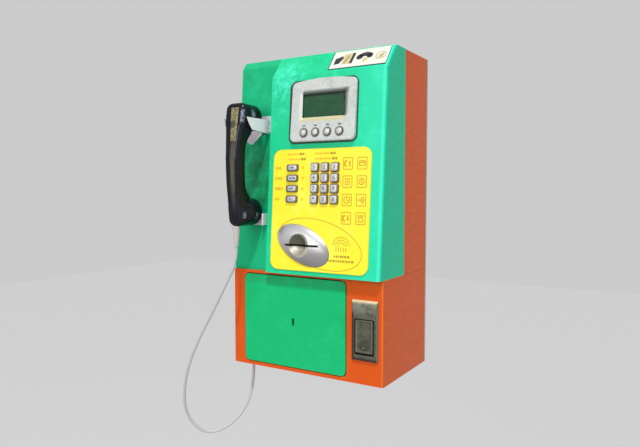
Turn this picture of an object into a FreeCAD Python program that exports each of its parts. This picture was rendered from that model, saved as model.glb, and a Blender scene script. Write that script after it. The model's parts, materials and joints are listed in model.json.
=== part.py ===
import FreeCAD, Part
import math
import os

# Wall-mounted card and coin payphone, in millimetres.
# Origin: centre of the four wall bolts on the rear face.
# +X is the user's right, +Y points into the wall, +Z is up.

V = FreeCAD.Vector
TINY = 1e-6                # two places closer than this are the same
OVER = 1.0                 # a cutting tool runs this far past the face it cuts
TAPER_OVER = 0.01          # a tapered tool, whose size changes as it runs past
os.makedirs("parts", exist_ok=True)

# ---------------------------------------------------------------- envelope
LOWER_HEIGHT = 160.0
LOWER_DEPTH = 169.0
FRONT_DEPTH = 181.0        # foot of the leaning front
KINK_DROP = 36.0           # height of the top slope, where the front folds back
FRONT_SETBACK = 22.0       # how far the front leans back up to the fold
SLOPE_SETBACK = 28.0       # and the top slope from there to the top
SPLIT_DEPTH = 94.0         # joint between the front cover and the rear housing
STRIP_WIDTH = 75.0         # recessed strip that carries the handset
STRIP_SETBACK = 17.0
SHEET = 2.0
LOWER_WALL = 2.5
BACK_THICK = 4.0
COVER_CORNER = 8.0
LOWER_CORNER = 3.5

# ------------------------------------------------------------- wall fixing
BOLT_SPACING_X = 200.0
BOLT_SPACING_Z = 400.0
BOLT_HOLE_RADIUS = 4.5
LINE_ENTRY_RADIUS = 10.0
LINE_ENTRY_HEIGHT = 110.0

# ---------------------------------------------------- yellow fascia and keys
FASCIA_WIDTH = 175.0
FASCIA_HEIGHT = 190.5
FASCIA_CORNER = 14.0
FASCIA_THICK = 1.6
FASCIA_FOOT = 7.0
FASCIA_LEFT_MARGIN = 10.0  # from the step down to the handset strip
FASCIA_RIGHT_MARGIN = 20.0
KEY_WIDTH = 13.5
KEY_HEIGHT = 13.8
KEY_GAP_X = 4.3            # between neighbouring keys
KEY_GAP_Z = 2.65
KEY_SHIFT = 9.1            # number keys from the fascia centre line
KEY_ROW_MID = 136.6        # middle of the key rows above the fascia foot
KEY_PROUD = 3.5
KEY_CORNER = 2.0
MENU_KEY_WIDTH = 20.7
MENU_KEY_HEIGHT = 10.3
MENU_KEY_SHIFT = -50.3
KEY_CLEAR = 0.4
KEY_TRAVEL = 1.5
COLLAR_LIP = 0.8
COLLAR_THICK = 1.2
COLLAR_GAP = 0.3
RUN_GAP = 0.3
APERTURE_GAP = 1.0
DOME_RADIUS = 4.0
DOME_HEIGHT = 1.2
MAT_THICK = 2.0
PCB_THICK = 1.6
FIELD_LIP = 8.0
POST_RADIUS = 3.0

# ------------------------------------------------------------ display bezel
BEZEL_WIDTH = 115.0
BEZEL_HEIGHT = 93.0        # at the corners; the top edge is arched
BEZEL_ARCH = 5.0
BEZEL_CORNER = 8.0
BEZEL_DEPTH = 7.5          # at the foot
BEZEL_RAKE = 4.0           # the face is this much lower at the crown
BEZEL_GAP = 11.0           # between the fascia and the bezel
BEZEL_TOP_GAP = 8.27       # between the bezel's crown and the fold
BEZEL_SHIFT = 2.5          # from the fascia centre line
BEZEL_EDGE = 1.8
WINDOW_WIDTH = 75.0
WINDOW_HEIGHT = 36.5
WINDOW_RISE = 56.0         # centre of the window above the bezel foot
WINDOW_CHAMFER = 7.0       # at the depth of the bezel's foot
PANE_LIP = 4.0
PANE_THICK = 1.5
PANE_CLEAR = 0.4
PANE_RECESS = 4.5          # front of the pane below the face at the bezel's foot
LCD_THICK = 5.0
ROUND_KEY_RADIUS = 5.0
ROUND_KEY_PITCH = 21.2
ROUND_KEY_RISE = 13.6
ROUND_KEY_PROUD = 1.0
ROUND_KEY_TRAVEL = 1.2
ROUND_RING_RADIUS = 7.4
ROUND_RING_DEPTH = 1.0
ROUND_COLLAR_RADIUS = 6.2
SWITCH_RADIUS = 2.5
SPACER_RADIUS = 2.5
BOARD_STANDOFF = 1.2

# ---------------------------------------------------------------- card slot
DOME_HALF_WIDTH = 51.4
DOME_HALF_HEIGHT = 28.5
DOME_PROUD = 10.0
DOME_SINK = 6.0            # centre of the ellipsoid behind the fascia
DOME_TURN = 23.5
DOME_SHIFT = -27.1
DOME_RISE = 40.1           # dome centre above the fascia foot
DISH_RADIUS = 18.3
DISH_DEPTH = 7.5
DISH_SHIFT = -6.4
CARD_SLOT_WIDTH = 59.0
CARD_SLOT_HEIGHT = 2.2
THROAT_WALL = 2.5
READER_WIDTH = 76.0
READER_HEIGHT = 26.0
READER_DEPTH = 84.0
CARD_TRAVEL = 66.0

# ------------------------------------------------------------ top label etc.
LABEL_WIDTH = 96.0
LABEL_FOOT_GAP = 6.0       # from the fold
LABEL_TOP_GAP = 2.6
LABEL_THICK = 0.5
COIN_PLATE_WIDTH = 48.0
COIN_PLATE_DEPTH = 20.0
COIN_PLATE_THICK = 2.5
COIN_SLOT_WIDTH = 30.0
COIN_SLOT_GAP = 3.2
COIN_MARGIN = 53.5         # middle of the coin slot from the right side

# ------------------------------------------------------------------ handset
HEAD_RADIUS = 22.5
EAR_HEIGHT = 155.5
MOUTH_HEIGHT = 2.5
MOUTH_STAND = 7.83         # from the lower rest to the mouthpiece cap
HEAD_DEPTH = 29.0
CAP_THICK = 9.0
CAP_EDGE = 2.0
HANDLE_WIDTH = 29.0
HANDLE_TOP_PROUD = 1.0     # handle's back beyond the backs of the heads
HANDLE_MID_PROUD = 16.5
HANDLE_FOOT_PROUD = 9.0
HANDLE_END_SINK = 10.0     # grip's inner side behind the faces of the heads
HANDLE_MID_SINK = 25.0
HANDLE_EDGE = 6.0
HANDLE_TOP_DROP = 2.0      # the handle ends below the top of the upper head
HANDLE_ROOT = 14.0         # from each head's centre to where the grip's hollow starts
CAPSULE_RADIUS = 18.0
CAPSULE_THICK = 9.0
CAPSULE_CLEAR = 0.5
SOUND_HOLE_RADIUS = 1.0
SOUND_RING = 7.0
SOUND_HOLES = 6
SLEEVE_PROUD = 3.5         # sleeve's centre line beyond the backs of the heads
SLEEVE_LENGTH = 33.0
SLEEVE_TOP_RADIUS = 6.5
SLEEVE_TIP_RADIUS = 3.4

# ------------------------------------------------------- cradle and hook
CHEEK_GAP = 0.8            # each side of the heads
CRADLE_SHEET = 2.0
CHEEK_TOP_DROP = 2.5       # below the centre of the upper head
CHEEK_FOOT_DROP = 25.0
CHEEK_TIP_PROUD = 5.0      # beyond the back of the head
CHEEK_POINT_Y = 7.0        # the cheek's front edge steps back below its tip
CHEEK_POINT_Z = 11.0
CHEEK_RISE = 3.5           # its lower edge rises towards the front
CRADLE_FOOT_DROP = 22.5
CRADLE_TOP_RISE = 4.5
CRADLE_MARGIN = 1.5
REST_TOP_DROP = 3.5        # below the centre of the lower head
REST_FOOT_DROP = 22.5
REST_REACH = 14.0
HOOK_SHEET = 2.0
HOOK_SIDE_GAP = 2.3        # between the shelf and each cheek
HOOK_REACH = 11.0          # of the shelf under the head
HOOK_TONGUE_WIDTH = 14.0
HOOK_PIVOT_BACK = 13.5     # pivot behind the strip
HOOK_SKIRT_DROP = 17.5     # point of the skirt below the shelf
HOOK_SKIRT_TIP = 2.0
HOOK_BARREL = 4.5
HOOK_PIN_RADIUS = 2.0
HOOK_TAIL = 16.0
HOOK_SLOT_CLEAR = 2.5
BRACKET_HALF = 12.0
BRACKET_HEIGHT = 34.0
SWITCH_HEIGHT = 9.0

# --------------------------------------------------------------- vault door
DOOR_LEFT_MARGIN = 24.75
DOOR_RIGHT_GAP = 11.25     # between the door and the coin-return plate
DOOR_FOOT = 7.4            # above the underside of the case
DOOR_TOP_MARGIN = 6.2
DOOR_THICK = 6.0
DOOR_PROUD = 1.0
DOOR_GAP = 1.6
DOOR_CORNER = 8.0
DOOR_PIVOT_INSET = 6.0     # from the right edge of the door
DOOR_PIVOT_DEPTH = 2.5     # behind the door's face
FRAME_DEPTH = 9.0
FRAME_WALL = 3.0
HINGE_PIN_RADIUS = 1.5
HINGE_PIN_REACH = 6.0
PIN_FIT = 0.05
KEYHOLE_WIDTH = 5.0
KEYHOLE_HEIGHT = 13.5
LOCK_RADIUS = 11.0
LOCK_LENGTH = 14.0
PLUG_RADIUS = 7.0
CRANK_RADIUS = 10.75       # a quarter turn throws the bolt 15.2 mm
CRANK_WEB = 3.0
CRANK_RIM = 1.0            # web beyond the crank pin
CRANK_PIN_RADIUS = 2.0
BOLT_THICK = 4.0
BOLT_HEIGHT = 32.0
BOLT_SETBACK = 9.25        # end of the drawn bolt inside the edge of the door
BOLT_TAIL = 14.0           # bolt beyond the middle of the lock
GUIDE_WALL = 3.0
GUIDE_SHARES = (0.35, 0.8) # places of the guides along the bolt's reach
KEEPER_STEP = 1.2          # from the edge of the opening to the keeper
KEEPER_WIDTH = 6.0
KEYWAY_WIDTH = 2.0
SLOT_CLEAR = 0.8

# -------------------------------------------------------------- coin return
RETURN_WIDTH = 44.0
RETURN_HEIGHT = 92.0
RETURN_PLATE_THICK = 2.0
RETURN_RIGHT_MARGIN = 8.0
RETURN_FOOT = 36.6
FLAP_WIDTH = 34.0
FLAP_HEIGHT = 55.0
FLAP_FOOT = 9.0
FLAP_THICK = 1.5
FLAP_BARREL = 2.4
FLAP_KNOB_RADIUS = 5.5
FLAP_PIN_RADIUS = 1.2
FLAP_PIVOT_RISE = 3.5
FLAP_PIVOT_DEPTH = 4.2     # pivot behind the outer face of the case
CUP_WALL = 1.5
CUP_CLEAR = 1.2
CUP_DEPTH = 62.0
CUP_BELOW = 6.0

# ----------------------------------------------------------------- cash box
CASH_MARGIN = 6.0          # each side, to clear the door frame
CASH_LOCK_GAP = 3.1        # between the cash box and the bolt's guides
CASH_HEIGHT = 118.0
CASH_WALL = 1.5
CASH_BACK_GAP = 14.0
RUNNER_HEIGHT = 6.5
RUNNER_WIDTH = 10.0
LID_THICK = 1.5
COIN_DROP_X = 40.0
COIN_DROP_Y = 16.0

# ---------------------------------------------------------------- electronics
MAIN_BOARD_WIDTH = 150.0
MAIN_BOARD_HEIGHT = 150.0
MAIN_BOARD_FOOT = 15.0     # above the seam
MAIN_BOARD_SHIFT = -40.0
STANDOFF_LENGTH = 14.0
STANDOFF_INSET = 8.0
STANDOFF_RADIUS = 4.0
SCREW_HEAD_RADIUS = 3.0
SCREW_HEAD = 2.0
VALIDATOR_WIDTH = 56.0
VALIDATOR_DEPTH = 52.0
VALIDATOR_HEIGHT = 120.0
VALIDATOR_DROP = 60.0      # top of the validator below the top of the housing
CHUTE_X = 36.0
CHUTE_Y = 12.0
CHUTE_WALL = 1.5
LINE_UNIT_WIDTH = 40.0
LINE_UNIT_HEIGHT = 30.0
LINE_UNIT_DEPTH = 12.0
LINE_UNIT_PLACE = 35.0     # above the middle of the board
PROCESSOR_WIDTH = 30.0
PROCESSOR_DEPTH = 5.0
PROCESSOR_PLACE = 35.0     # left of and below the middle of the board
RINGER_RADIUS = 24.0
RINGER_DEPTH = 16.0

# --------------------------------------------------------------------- cord
CORD_RADIUS = 2.5
GLAND_RADIUS = 9.0
GLAND_FLANGE = 3.0
GLAND_NOSE = 4.0
GLAND_NOSE_RADIUS = 5.0
CORD_FIT = 0.5             # radial room in the bore behind the cord's end
GLAND_X = -121.0
GLAND_Y = -140.0
CORD_ROUTE = [
    (-120.0, -218.0, -118.0),
    (-139.0, -225.0, -159.0),
    (-162.0, -231.0, -202.0),
    (-183.0, -234.5, -247.0),
    (-198.0, -233.0, -295.0),
    (-202.0, -225.0, -343.0),
    (-184.0, -206.0, -377.0),
    (-158.0, -183.0, -377.0),
    (-133.0, -157.0, -350.0),
]
SETBACK_SHARE = 0.45       # of the shorter run, on each side of a turn
CORD_FIRST_RUN = 25.0      # straight down out of the sleeve
CORD_LAST_RUN = 43.0       # straight up into the gland

# ------------------------------------------------------------ derived places
KINK_DEPTH = FRONT_DEPTH - FRONT_SETBACK
TOP_DEPTH = KINK_DEPTH - SLOPE_SETBACK
BEZEL_FOOT = FASCIA_FOOT + FASCIA_HEIGHT + BEZEL_GAP
FRONT_LENGTH = BEZEL_FOOT + BEZEL_HEIGHT + BEZEL_ARCH + BEZEL_TOP_GAP
FRONT_HEIGHT = math.sqrt(FRONT_LENGTH ** 2 - FRONT_SETBACK ** 2)
HEIGHT = LOWER_HEIGHT + FRONT_HEIGHT + KINK_DROP
WIDTH = STRIP_WIDTH + FASCIA_LEFT_MARGIN + FASCIA_WIDTH + FASCIA_RIGHT_MARGIN
LEFT = -WIDTH / 2
RIGHT = WIDTH / 2
FLOOR_Z = -HEIGHT / 2
TOP_Z = HEIGHT / 2
SEAM_Z = FLOOR_Z + LOWER_HEIGHT
KINK_Z = TOP_Z - KINK_DROP
STEP_X = LEFT + STRIP_WIDTH
LEAN = FRONT_SETBACK / FRONT_HEIGHT
TILT = math.degrees(math.atan(LEAN))
SLOPE_TURN = math.degrees(math.atan(SLOPE_SETBACK / KINK_DROP))
SLOPE_LENGTH = math.hypot(SLOPE_SETBACK, KINK_DROP)
STRIP_FOOT = FRONT_DEPTH - STRIP_SETBACK
FASCIA_X = STEP_X + FASCIA_LEFT_MARGIN + FASCIA_WIDTH / 2
KEY_PITCH_X = KEY_WIDTH + KEY_GAP_X
KEY_PITCH_Z = KEY_HEIGHT + KEY_GAP_Z
KEY_X = FASCIA_X + KEY_SHIFT
MENU_X = FASCIA_X + MENU_KEY_SHIFT
KEY_MID = FASCIA_FOOT + KEY_ROW_MID
DOME_X = FASCIA_X + DOME_SHIFT
DOME_Z = FASCIA_FOOT + DOME_RISE
BEZEL_X = FASCIA_X + BEZEL_SHIFT
WINDOW_Z = BEZEL_FOOT + WINDOW_RISE
ROUND_KEY_Z = BEZEL_FOOT + ROUND_KEY_RISE
HANDSET_X = LEFT + STRIP_WIDTH / 2
COLLAR_BACK = COLLAR_GAP + COLLAR_THICK
MAT_FRONT = COLLAR_BACK + KEY_TRAVEL + RUN_GAP + DOME_HEIGHT
PCB_FRONT = MAT_FRONT + MAT_THICK
PCB_BACK = PCB_FRONT + PCB_THICK
RETURN_X = RIGHT - RETURN_RIGHT_MARGIN - RETURN_WIDTH / 2
RETURN_Z = FLOOR_Z + RETURN_FOOT + RETURN_HEIGHT / 2
DOOR_LEFT = LEFT + DOOR_LEFT_MARGIN
DOOR_RIGHT = RETURN_X - RETURN_WIDTH / 2 - DOOR_RIGHT_GAP
DOOR_WIDTH = DOOR_RIGHT - DOOR_LEFT
DOOR_HEIGHT = LOWER_HEIGHT - DOOR_FOOT - DOOR_TOP_MARGIN
DOOR_X = (DOOR_LEFT + DOOR_RIGHT) / 2
DOOR_Z = FLOOR_Z + DOOR_FOOT + DOOR_HEIGHT / 2
DOOR_FRONT = LOWER_DEPTH + DOOR_PROUD
DOOR_BACK = DOOR_FRONT - DOOR_THICK
PIVOT_X = DOOR_X + DOOR_WIDTH / 2 - DOOR_PIVOT_INSET
PIVOT_Y = -(DOOR_FRONT - DOOR_PIVOT_DEPTH)
FLAP_Z0 = FLOOR_Z + RETURN_FOOT + FLAP_FOOT
FLAP_TOP = FLAP_Z0 + FLAP_HEIGHT
FLAP_PIVOT_Z = FLAP_TOP + FLAP_PIVOT_RISE
FLAP_PIVOT_Y = -(LOWER_DEPTH - FLAP_PIVOT_DEPTH)
COIN_X = RIGHT - COIN_MARGIN
COIN_Y = -(TOP_DEPTH + SPLIT_DEPTH) / 2


def strip_y(z):
    """Depth of the handset strip's outer face at a height."""
    return -(STRIP_FOOT - LEAN * (z - SEAM_Z))


HEAD_FACE = -strip_y(MOUTH_HEIGHT) + CRADLE_SHEET + MOUTH_STAND + CAP_THICK
HEAD_BACK = HEAD_FACE + HEAD_DEPTH
CHEEK_TOP = EAR_HEIGHT - CHEEK_TOP_DROP
CHEEK_FOOT = EAR_HEIGHT - CHEEK_FOOT_DROP
CHEEK_TIP = HEAD_BACK + CHEEK_TIP_PROUD
REST_TOP = MOUTH_HEIGHT - REST_TOP_DROP
REST_FOOT = MOUTH_HEIGHT - REST_FOOT_DROP
HOOK_SKIRT_Y = HEAD_FACE - CAP_THICK
HOOK_SHELF_TOP = EAR_HEIGHT - HEAD_RADIUS - RUN_GAP
HOOK_PIVOT_Z = HOOK_SHELF_TOP - HOOK_SHEET / 2
HOOK_PIVOT_Y = -strip_y(HOOK_PIVOT_Z) - HOOK_PIVOT_BACK
SLEEVE_Y = HEAD_BACK + SLEEVE_PROUD


# -------------------------------------------------------------- small tools
def block(x0, x1, y0, y1, z0, z1):
    return Part.makeBox(x1 - x0, y1 - y0, z1 - z0, V(x0, y0, z0))


def rod(radius, start, end):
    axis = V(*end) - V(*start)
    return Part.makeCylinder(radius, axis.Length, V(*start), axis)


def cone(radius_a, radius_b, start, end):
    axis = V(*end) - V(*start)
    return Part.makeCone(radius_a, radius_b, axis.Length, V(*start), axis)


def fuse(shapes):
    return shapes[0].multiFuse(shapes[1:]).removeSplitter()


def cut(base, tools):
    return base.cut(Part.makeCompound(tools))


def edges_along(shape, axis):
    """Straight edges parallel to the axis."""
    found = []
    for edge in shape.Edges:
        if isinstance(edge.Curve, Part.Line):
            if abs(abs(edge.Curve.Direction.dot(axis)) - 1) < TINY:
                found.append(edge)
    return found


def rounded_plate(mid_x, mid_z, width, height, corner, y0, y1):
    """Plate in the XZ plane with rounded corners, from depth y0 to y1."""
    plate = block(mid_x - width / 2, mid_x + width / 2, y0, y1,
                  mid_z - height / 2, mid_z + height / 2)
    return plate.makeFillet(corner, edges_along(plate, V(0, 1, 0)))


def side_prism(outline, x0, x1):
    """Prism across X with an outline of (y, z) points."""
    points = [V(x0, y, z) for y, z in outline]
    face = Part.Face(Part.makePolygon(points + points[:1]))
    return face.extrude(V(x1 - x0, 0, 0))


def front_prism(outline, y0, y1):
    """Prism along Y with an outline of (x, z) points."""
    points = [V(x, y0, z) for x, z in outline]
    face = Part.Face(Part.makePolygon(points + points[:1]))
    return face.extrude(V(0, y1 - y0, 0))


def inset(outline, walls):
    """Outline moved inwards, each side by its own wall; counter-clockwise in (y, z)."""
    lines = []
    count = len(outline)
    for i in range(count):
        (y0, z0), (y1, z1) = outline[i], outline[(i + 1) % count]
        length = math.hypot(y1 - y0, z1 - z0)
        ny, nz = -(z1 - z0) / length, (y1 - y0) / length
        lines.append((ny, nz, ny * y0 + nz * z0 + walls[i]))
    corners = []
    for i in range(count):
        a, b, c = lines[i - 1]
        d, e, f = lines[i]
        det = a * e - b * d
        corners.append(((c * e - b * f) / det, (a * f - c * d) / det))
    return corners


def on_front(shape):
    """From the front's own frame (x, depth, height up the lean) to the part frame."""
    place = FreeCAD.Placement(V(0, -FRONT_DEPTH, SEAM_Z),
                              FreeCAD.Rotation(V(1, 0, 0), -TILT))
    moved = shape.copy()
    moved.Placement = place.multiply(shape.Placement)
    return moved


def on_slope(shape):
    place = FreeCAD.Placement(V(0, -KINK_DEPTH, KINK_Z),
                              FreeCAD.Rotation(V(1, 0, 0), -SLOPE_TURN))
    moved = shape.copy()
    moved.Placement = place.multiply(shape.Placement)
    return moved


def save(name, shape):
    assert shape.isValid(), name
    shape.exportStep("parts/" + name + ".step")
    print(f"{name:24s} solids {len(shape.Solids):2d}  volume {shape.Volume / 1000:9.2f} cm3")


# ------------------------------------------------------------- outer shells
def cover_outline():
    return [(-FRONT_DEPTH, SEAM_Z), (-SPLIT_DEPTH, SEAM_Z), (-SPLIT_DEPTH, TOP_Z),
            (-TOP_DEPTH, TOP_Z), (-KINK_DEPTH, KINK_Z)]


def strip_outline():
    """The strip runs up its lean until it meets the cover's top slope."""
    slope = SLOPE_SETBACK / KINK_DROP
    meet = (-strip_y(KINK_Z) - KINK_DEPTH) / (LEAN - slope) + KINK_Z
    return [(-STRIP_FOOT, SEAM_Z), (-SPLIT_DEPTH, SEAM_Z), (-SPLIT_DEPTH, TOP_Z),
            (-TOP_DEPTH, TOP_Z), (strip_y(meet), meet)]


def right_front_edges(shape, x):
    """Edges on the right side that run up the front and the slope."""
    found = []
    for edge in shape.Edges:
        box = edge.BoundBox
        on_side = abs(box.XMin - x) < TINY and abs(box.XMax - x) < TINY
        if on_side and box.ZLength > TINY and box.YMin < -TOP_DEPTH:
            found.append(edge)
    return found


def rounded_side_prism(outline, x0, x1, corner):
    prism = side_prism(outline, x0, x1)
    return prism.makeFillet(corner, right_front_edges(prism, x1))


def cover_apertures():
    """Openings behind the keys, the display, its round keys and the card slot."""
    pad_w = 2 * KEY_PITCH_X + KEY_WIDTH + 2 * (COLLAR_LIP + APERTURE_GAP)
    menu_w = MENU_KEY_WIDTH + 2 * (COLLAR_LIP + APERTURE_GAP)
    rows_h = 3 * KEY_PITCH_Z + KEY_HEIGHT + 2 * (COLLAR_LIP + APERTURE_GAP)
    holes = [
        rounded_plate(KEY_X, KEY_MID, pad_w, rows_h, KEY_CORNER, -OVER, SHEET + OVER),
        rounded_plate(MENU_X, KEY_MID, menu_w, rows_h, KEY_CORNER, -OVER, SHEET + OVER),
        rounded_plate(BEZEL_X, WINDOW_Z, WINDOW_WIDTH + 2 * APERTURE_GAP,
                      WINDOW_HEIGHT + 2 * APERTURE_GAP, KEY_CORNER, -OVER, SHEET + OVER),
        throat_block(APERTURE_GAP, -OVER, SHEET + OVER),
    ]
    for x in round_key_places():
        holes.append(rod(SWITCH_RADIUS + APERTURE_GAP, (x, -OVER, ROUND_KEY_Z),
                         (x, SHEET + OVER, ROUND_KEY_Z)))
    return [on_front(hole) for hole in holes]


def make_front_cover():
    outline = cover_outline()
    walls = [SHEET, -SHEET, SHEET, SHEET, SHEET]
    outer = rounded_side_prism(outline, STEP_X, RIGHT, COVER_CORNER)
    inner = rounded_side_prism(inset(outline, walls), STEP_X + SHEET, RIGHT - SHEET,
                               COVER_CORNER - SHEET)
    coin_hole = block(COIN_X - COIN_SLOT_WIDTH / 2, COIN_X + COIN_SLOT_WIDTH / 2,
                      COIN_Y - COIN_SLOT_GAP / 2, COIN_Y + COIN_SLOT_GAP / 2,
                      TOP_Z - 2 * SHEET, TOP_Z + SHEET)
    tools = [inner, coin_hole] + cover_apertures() + [slot_through_floor()]
    save("front_cover", cut(outer, tools))


def slot_through_floor():
    """Passage for the coin chute through the cover's floor."""
    return chute_block(CHUTE_WALL + APERTURE_GAP, SEAM_Z - SHEET, SEAM_Z + 2 * SHEET)


def make_handset_panel():
    outline = strip_outline()
    walls = [SHEET, -SHEET, SHEET, SHEET, SHEET]
    outer = side_prism(outline, LEFT, STEP_X)
    inner = side_prism(inset(outline, walls), LEFT + SHEET, STEP_X + SHEET)
    save("handset_panel", fuse([cut(outer, [inner, hook_slot()]), hook_bracket()]))


def make_rear_housing():
    outer = block(LEFT, RIGHT, -SPLIT_DEPTH, -BACK_THICK, SEAM_Z, TOP_Z)
    inner = block(LEFT + SHEET, RIGHT - SHEET, -SPLIT_DEPTH - OVER, -BACK_THICK + OVER,
                  SEAM_Z + SHEET, TOP_Z - SHEET)
    save("rear_housing", cut(outer, [inner]))


def make_back_plate():
    plate = block(LEFT, RIGHT, -BACK_THICK, 0, FLOOR_Z, TOP_Z)
    holes = []
    for x in (-BOLT_SPACING_X / 2, BOLT_SPACING_X / 2):
        for z in (-BOLT_SPACING_Z / 2, BOLT_SPACING_Z / 2):
            holes.append(rod(BOLT_HOLE_RADIUS, (x, -BACK_THICK - OVER, z), (x, OVER, z)))
    holes.append(rod(LINE_ENTRY_RADIUS, (0, -BACK_THICK - OVER, LINE_ENTRY_HEIGHT),
                     (0, OVER, LINE_ENTRY_HEIGHT)))
    studs = [rod(STANDOFF_RADIUS, (x, -BACK_THICK - STANDOFF_LENGTH, z), (x, -BACK_THICK, z))
             for x, z in board_screw_places()]
    save("back_plate", fuse([cut(plate, holes)] + studs))


# ------------------------------------------------------- fascia and keypad
def key_places():
    """Name and place of each number key, rows from the top."""
    names = ["1", "2", "3", "4", "5", "6", "7", "8", "9", "star", "0", "hash"]
    places = []
    for i, name in enumerate(names):
        column, row = i % 3, i // 3
        places.append((name, KEY_X + (column - 1) * KEY_PITCH_X,
                       KEY_MID + (1.5 - row) * KEY_PITCH_Z))
    return places


def menu_key_places():
    return [(MENU_X, KEY_MID + (1.5 - row) * KEY_PITCH_Z) for row in range(4)]


def round_key_places():
    return [BEZEL_X + (i - 1.5) * ROUND_KEY_PITCH for i in range(4)]


def make_fascia():
    middle = FASCIA_FOOT + FASCIA_HEIGHT / 2
    plate = rounded_plate(FASCIA_X, middle, FASCIA_WIDTH, FASCIA_HEIGHT, FASCIA_CORNER,
                          -FASCIA_THICK, 0)
    holes = [throat_block(APERTURE_GAP, -FASCIA_THICK - OVER, OVER)]
    for _, x, z in key_places():
        holes.append(rounded_plate(x, z, KEY_WIDTH + 2 * KEY_CLEAR, KEY_HEIGHT + 2 * KEY_CLEAR,
                                   KEY_CORNER + KEY_CLEAR, -FASCIA_THICK - OVER, OVER))
    for x, z in menu_key_places():
        holes.append(rounded_plate(x, z, MENU_KEY_WIDTH + 2 * KEY_CLEAR,
                                   MENU_KEY_HEIGHT + 2 * KEY_CLEAR,
                                   KEY_CORNER + KEY_CLEAR, -FASCIA_THICK - OVER, OVER))
    save("fascia", on_front(cut(plate, holes)))


def key_shape(x, z, width, height):
    cap = rounded_plate(x, z, width, height, KEY_CORNER, -FASCIA_THICK - KEY_PROUD,
                        COLLAR_GAP)
    top = [e for e in cap.Edges if e.BoundBox.YMax < -FASCIA_THICK - KEY_PROUD + TINY]
    cap = cap.makeChamfer(KEY_PROUD / 4, top)
    collar = rounded_plate(x, z, width + 2 * COLLAR_LIP, height + 2 * COLLAR_LIP,
                           KEY_CORNER, COLLAR_GAP, COLLAR_BACK)
    return fuse([cap, collar])


def make_keys():
    for name, x, z in key_places():
        save("key_" + name, on_front(key_shape(x, z, KEY_WIDTH, KEY_HEIGHT)))
    for i, (x, z) in enumerate(menu_key_places()):
        save(f"menu_key_{i + 1}", on_front(key_shape(x, z, MENU_KEY_WIDTH, MENU_KEY_HEIGHT)))


def keypad_span():
    """Left, right, bottom and top of the field that holds both groups of keys."""
    left = MENU_X - MENU_KEY_WIDTH / 2 - FIELD_LIP
    right = KEY_X + KEY_PITCH_X + KEY_WIDTH / 2 + FIELD_LIP
    half = 1.5 * KEY_PITCH_Z + KEY_HEIGHT / 2 + FIELD_LIP
    return left, right, KEY_MID - half, KEY_MID + half


def make_keypad_stack():
    left, right, foot, top = keypad_span()
    mat = block(left, right, MAT_FRONT, PCB_FRONT, foot, top)
    spots = [(x, z) for _, x, z in key_places()] + menu_key_places()
    domes = [cone(DOME_RADIUS, DOME_RADIUS / 2, (x, MAT_FRONT, z),
                  (x, MAT_FRONT - DOME_HEIGHT, z)) for x, z in spots]
    save("keypad_mat", on_front(fuse([mat] + domes)))
    edge = 2 * POST_RADIUS
    board = [block(left - edge, right + edge, PCB_FRONT, PCB_BACK, foot, top)]
    for x in (left - POST_RADIUS, right + POST_RADIUS):
        for z in (foot + edge, top - edge):
            board.append(rod(POST_RADIUS - RUN_GAP, (x, SHEET, z), (x, PCB_BACK, z)))
    save("keypad_board", on_front(fuse(board)))


# ------------------------------------------------------------ display unit
def make_display_bezel():
    x0, x1 = BEZEL_X - BEZEL_WIDTH / 2, BEZEL_X + BEZEL_WIDTH / 2
    z0, z1 = BEZEL_FOOT, BEZEL_FOOT + BEZEL_HEIGHT
    a, b, c, d = V(x0, 0, z0), V(x1, 0, z0), V(x1, 0, z1), V(x0, 0, z1)
    crown = V(BEZEL_X, 0, z1 + BEZEL_ARCH)
    wire = Part.Wire([Part.LineSegment(a, b).toShape(), Part.LineSegment(b, c).toShape(),
                      Part.Arc(c, crown, d).toShape(), Part.LineSegment(d, a).toShape()])
    body = Part.Face(wire).extrude(V(0, -BEZEL_DEPTH, 0))
    body = body.makeFillet(BEZEL_CORNER, edges_along(body, V(0, 1, 0)))
    low, high = z0 - OVER, z1 + BEZEL_ARCH + OVER
    body = cut(body, [side_prism([(bezel_face_y(low) - OVER, low), (bezel_face_y(low), low),
                                  (bezel_face_y(high), high), (bezel_face_y(low) - OVER, high)],
                                 x0 - OVER, x1 + OVER)])
    face = min(body.Faces, key=lambda side: side.CenterOfMass.y)
    body = body.makeFillet(BEZEL_EDGE, face.Edges)
    pane_y = -BEZEL_DEPTH + PANE_RECESS
    mouth = window_taper(-BEZEL_DEPTH, pane_y)
    pocket = rounded_plate(BEZEL_X, WINDOW_Z, WINDOW_WIDTH + 2 * PANE_LIP,
                           WINDOW_HEIGHT + 2 * PANE_LIP, KEY_CORNER, pane_y, OVER)
    tools = [mouth, pocket]
    for x in round_key_places():
        tools.append(rod(ROUND_RING_RADIUS, (x, -BEZEL_DEPTH - OVER, ROUND_KEY_Z),
                         (x, bezel_face_y(ROUND_KEY_Z) + ROUND_RING_DEPTH, ROUND_KEY_Z)))
        tools.append(rod(ROUND_KEY_RADIUS + KEY_CLEAR, (x, -BEZEL_DEPTH - OVER, ROUND_KEY_Z),
                         (x, OVER, ROUND_KEY_Z)))
        tools.append(rod(ROUND_COLLAR_RADIUS + KEY_CLEAR, (x, round_seat_y(), ROUND_KEY_Z),
                         (x, OVER, ROUND_KEY_Z)))
    save("display_bezel", on_front(cut(body, tools)))


def bezel_face_y(z):
    """Depth of the bezel's raked face at a height up the front."""
    return -BEZEL_DEPTH + BEZEL_RAKE * (z - BEZEL_FOOT) / (BEZEL_HEIGHT + BEZEL_ARCH)


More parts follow.
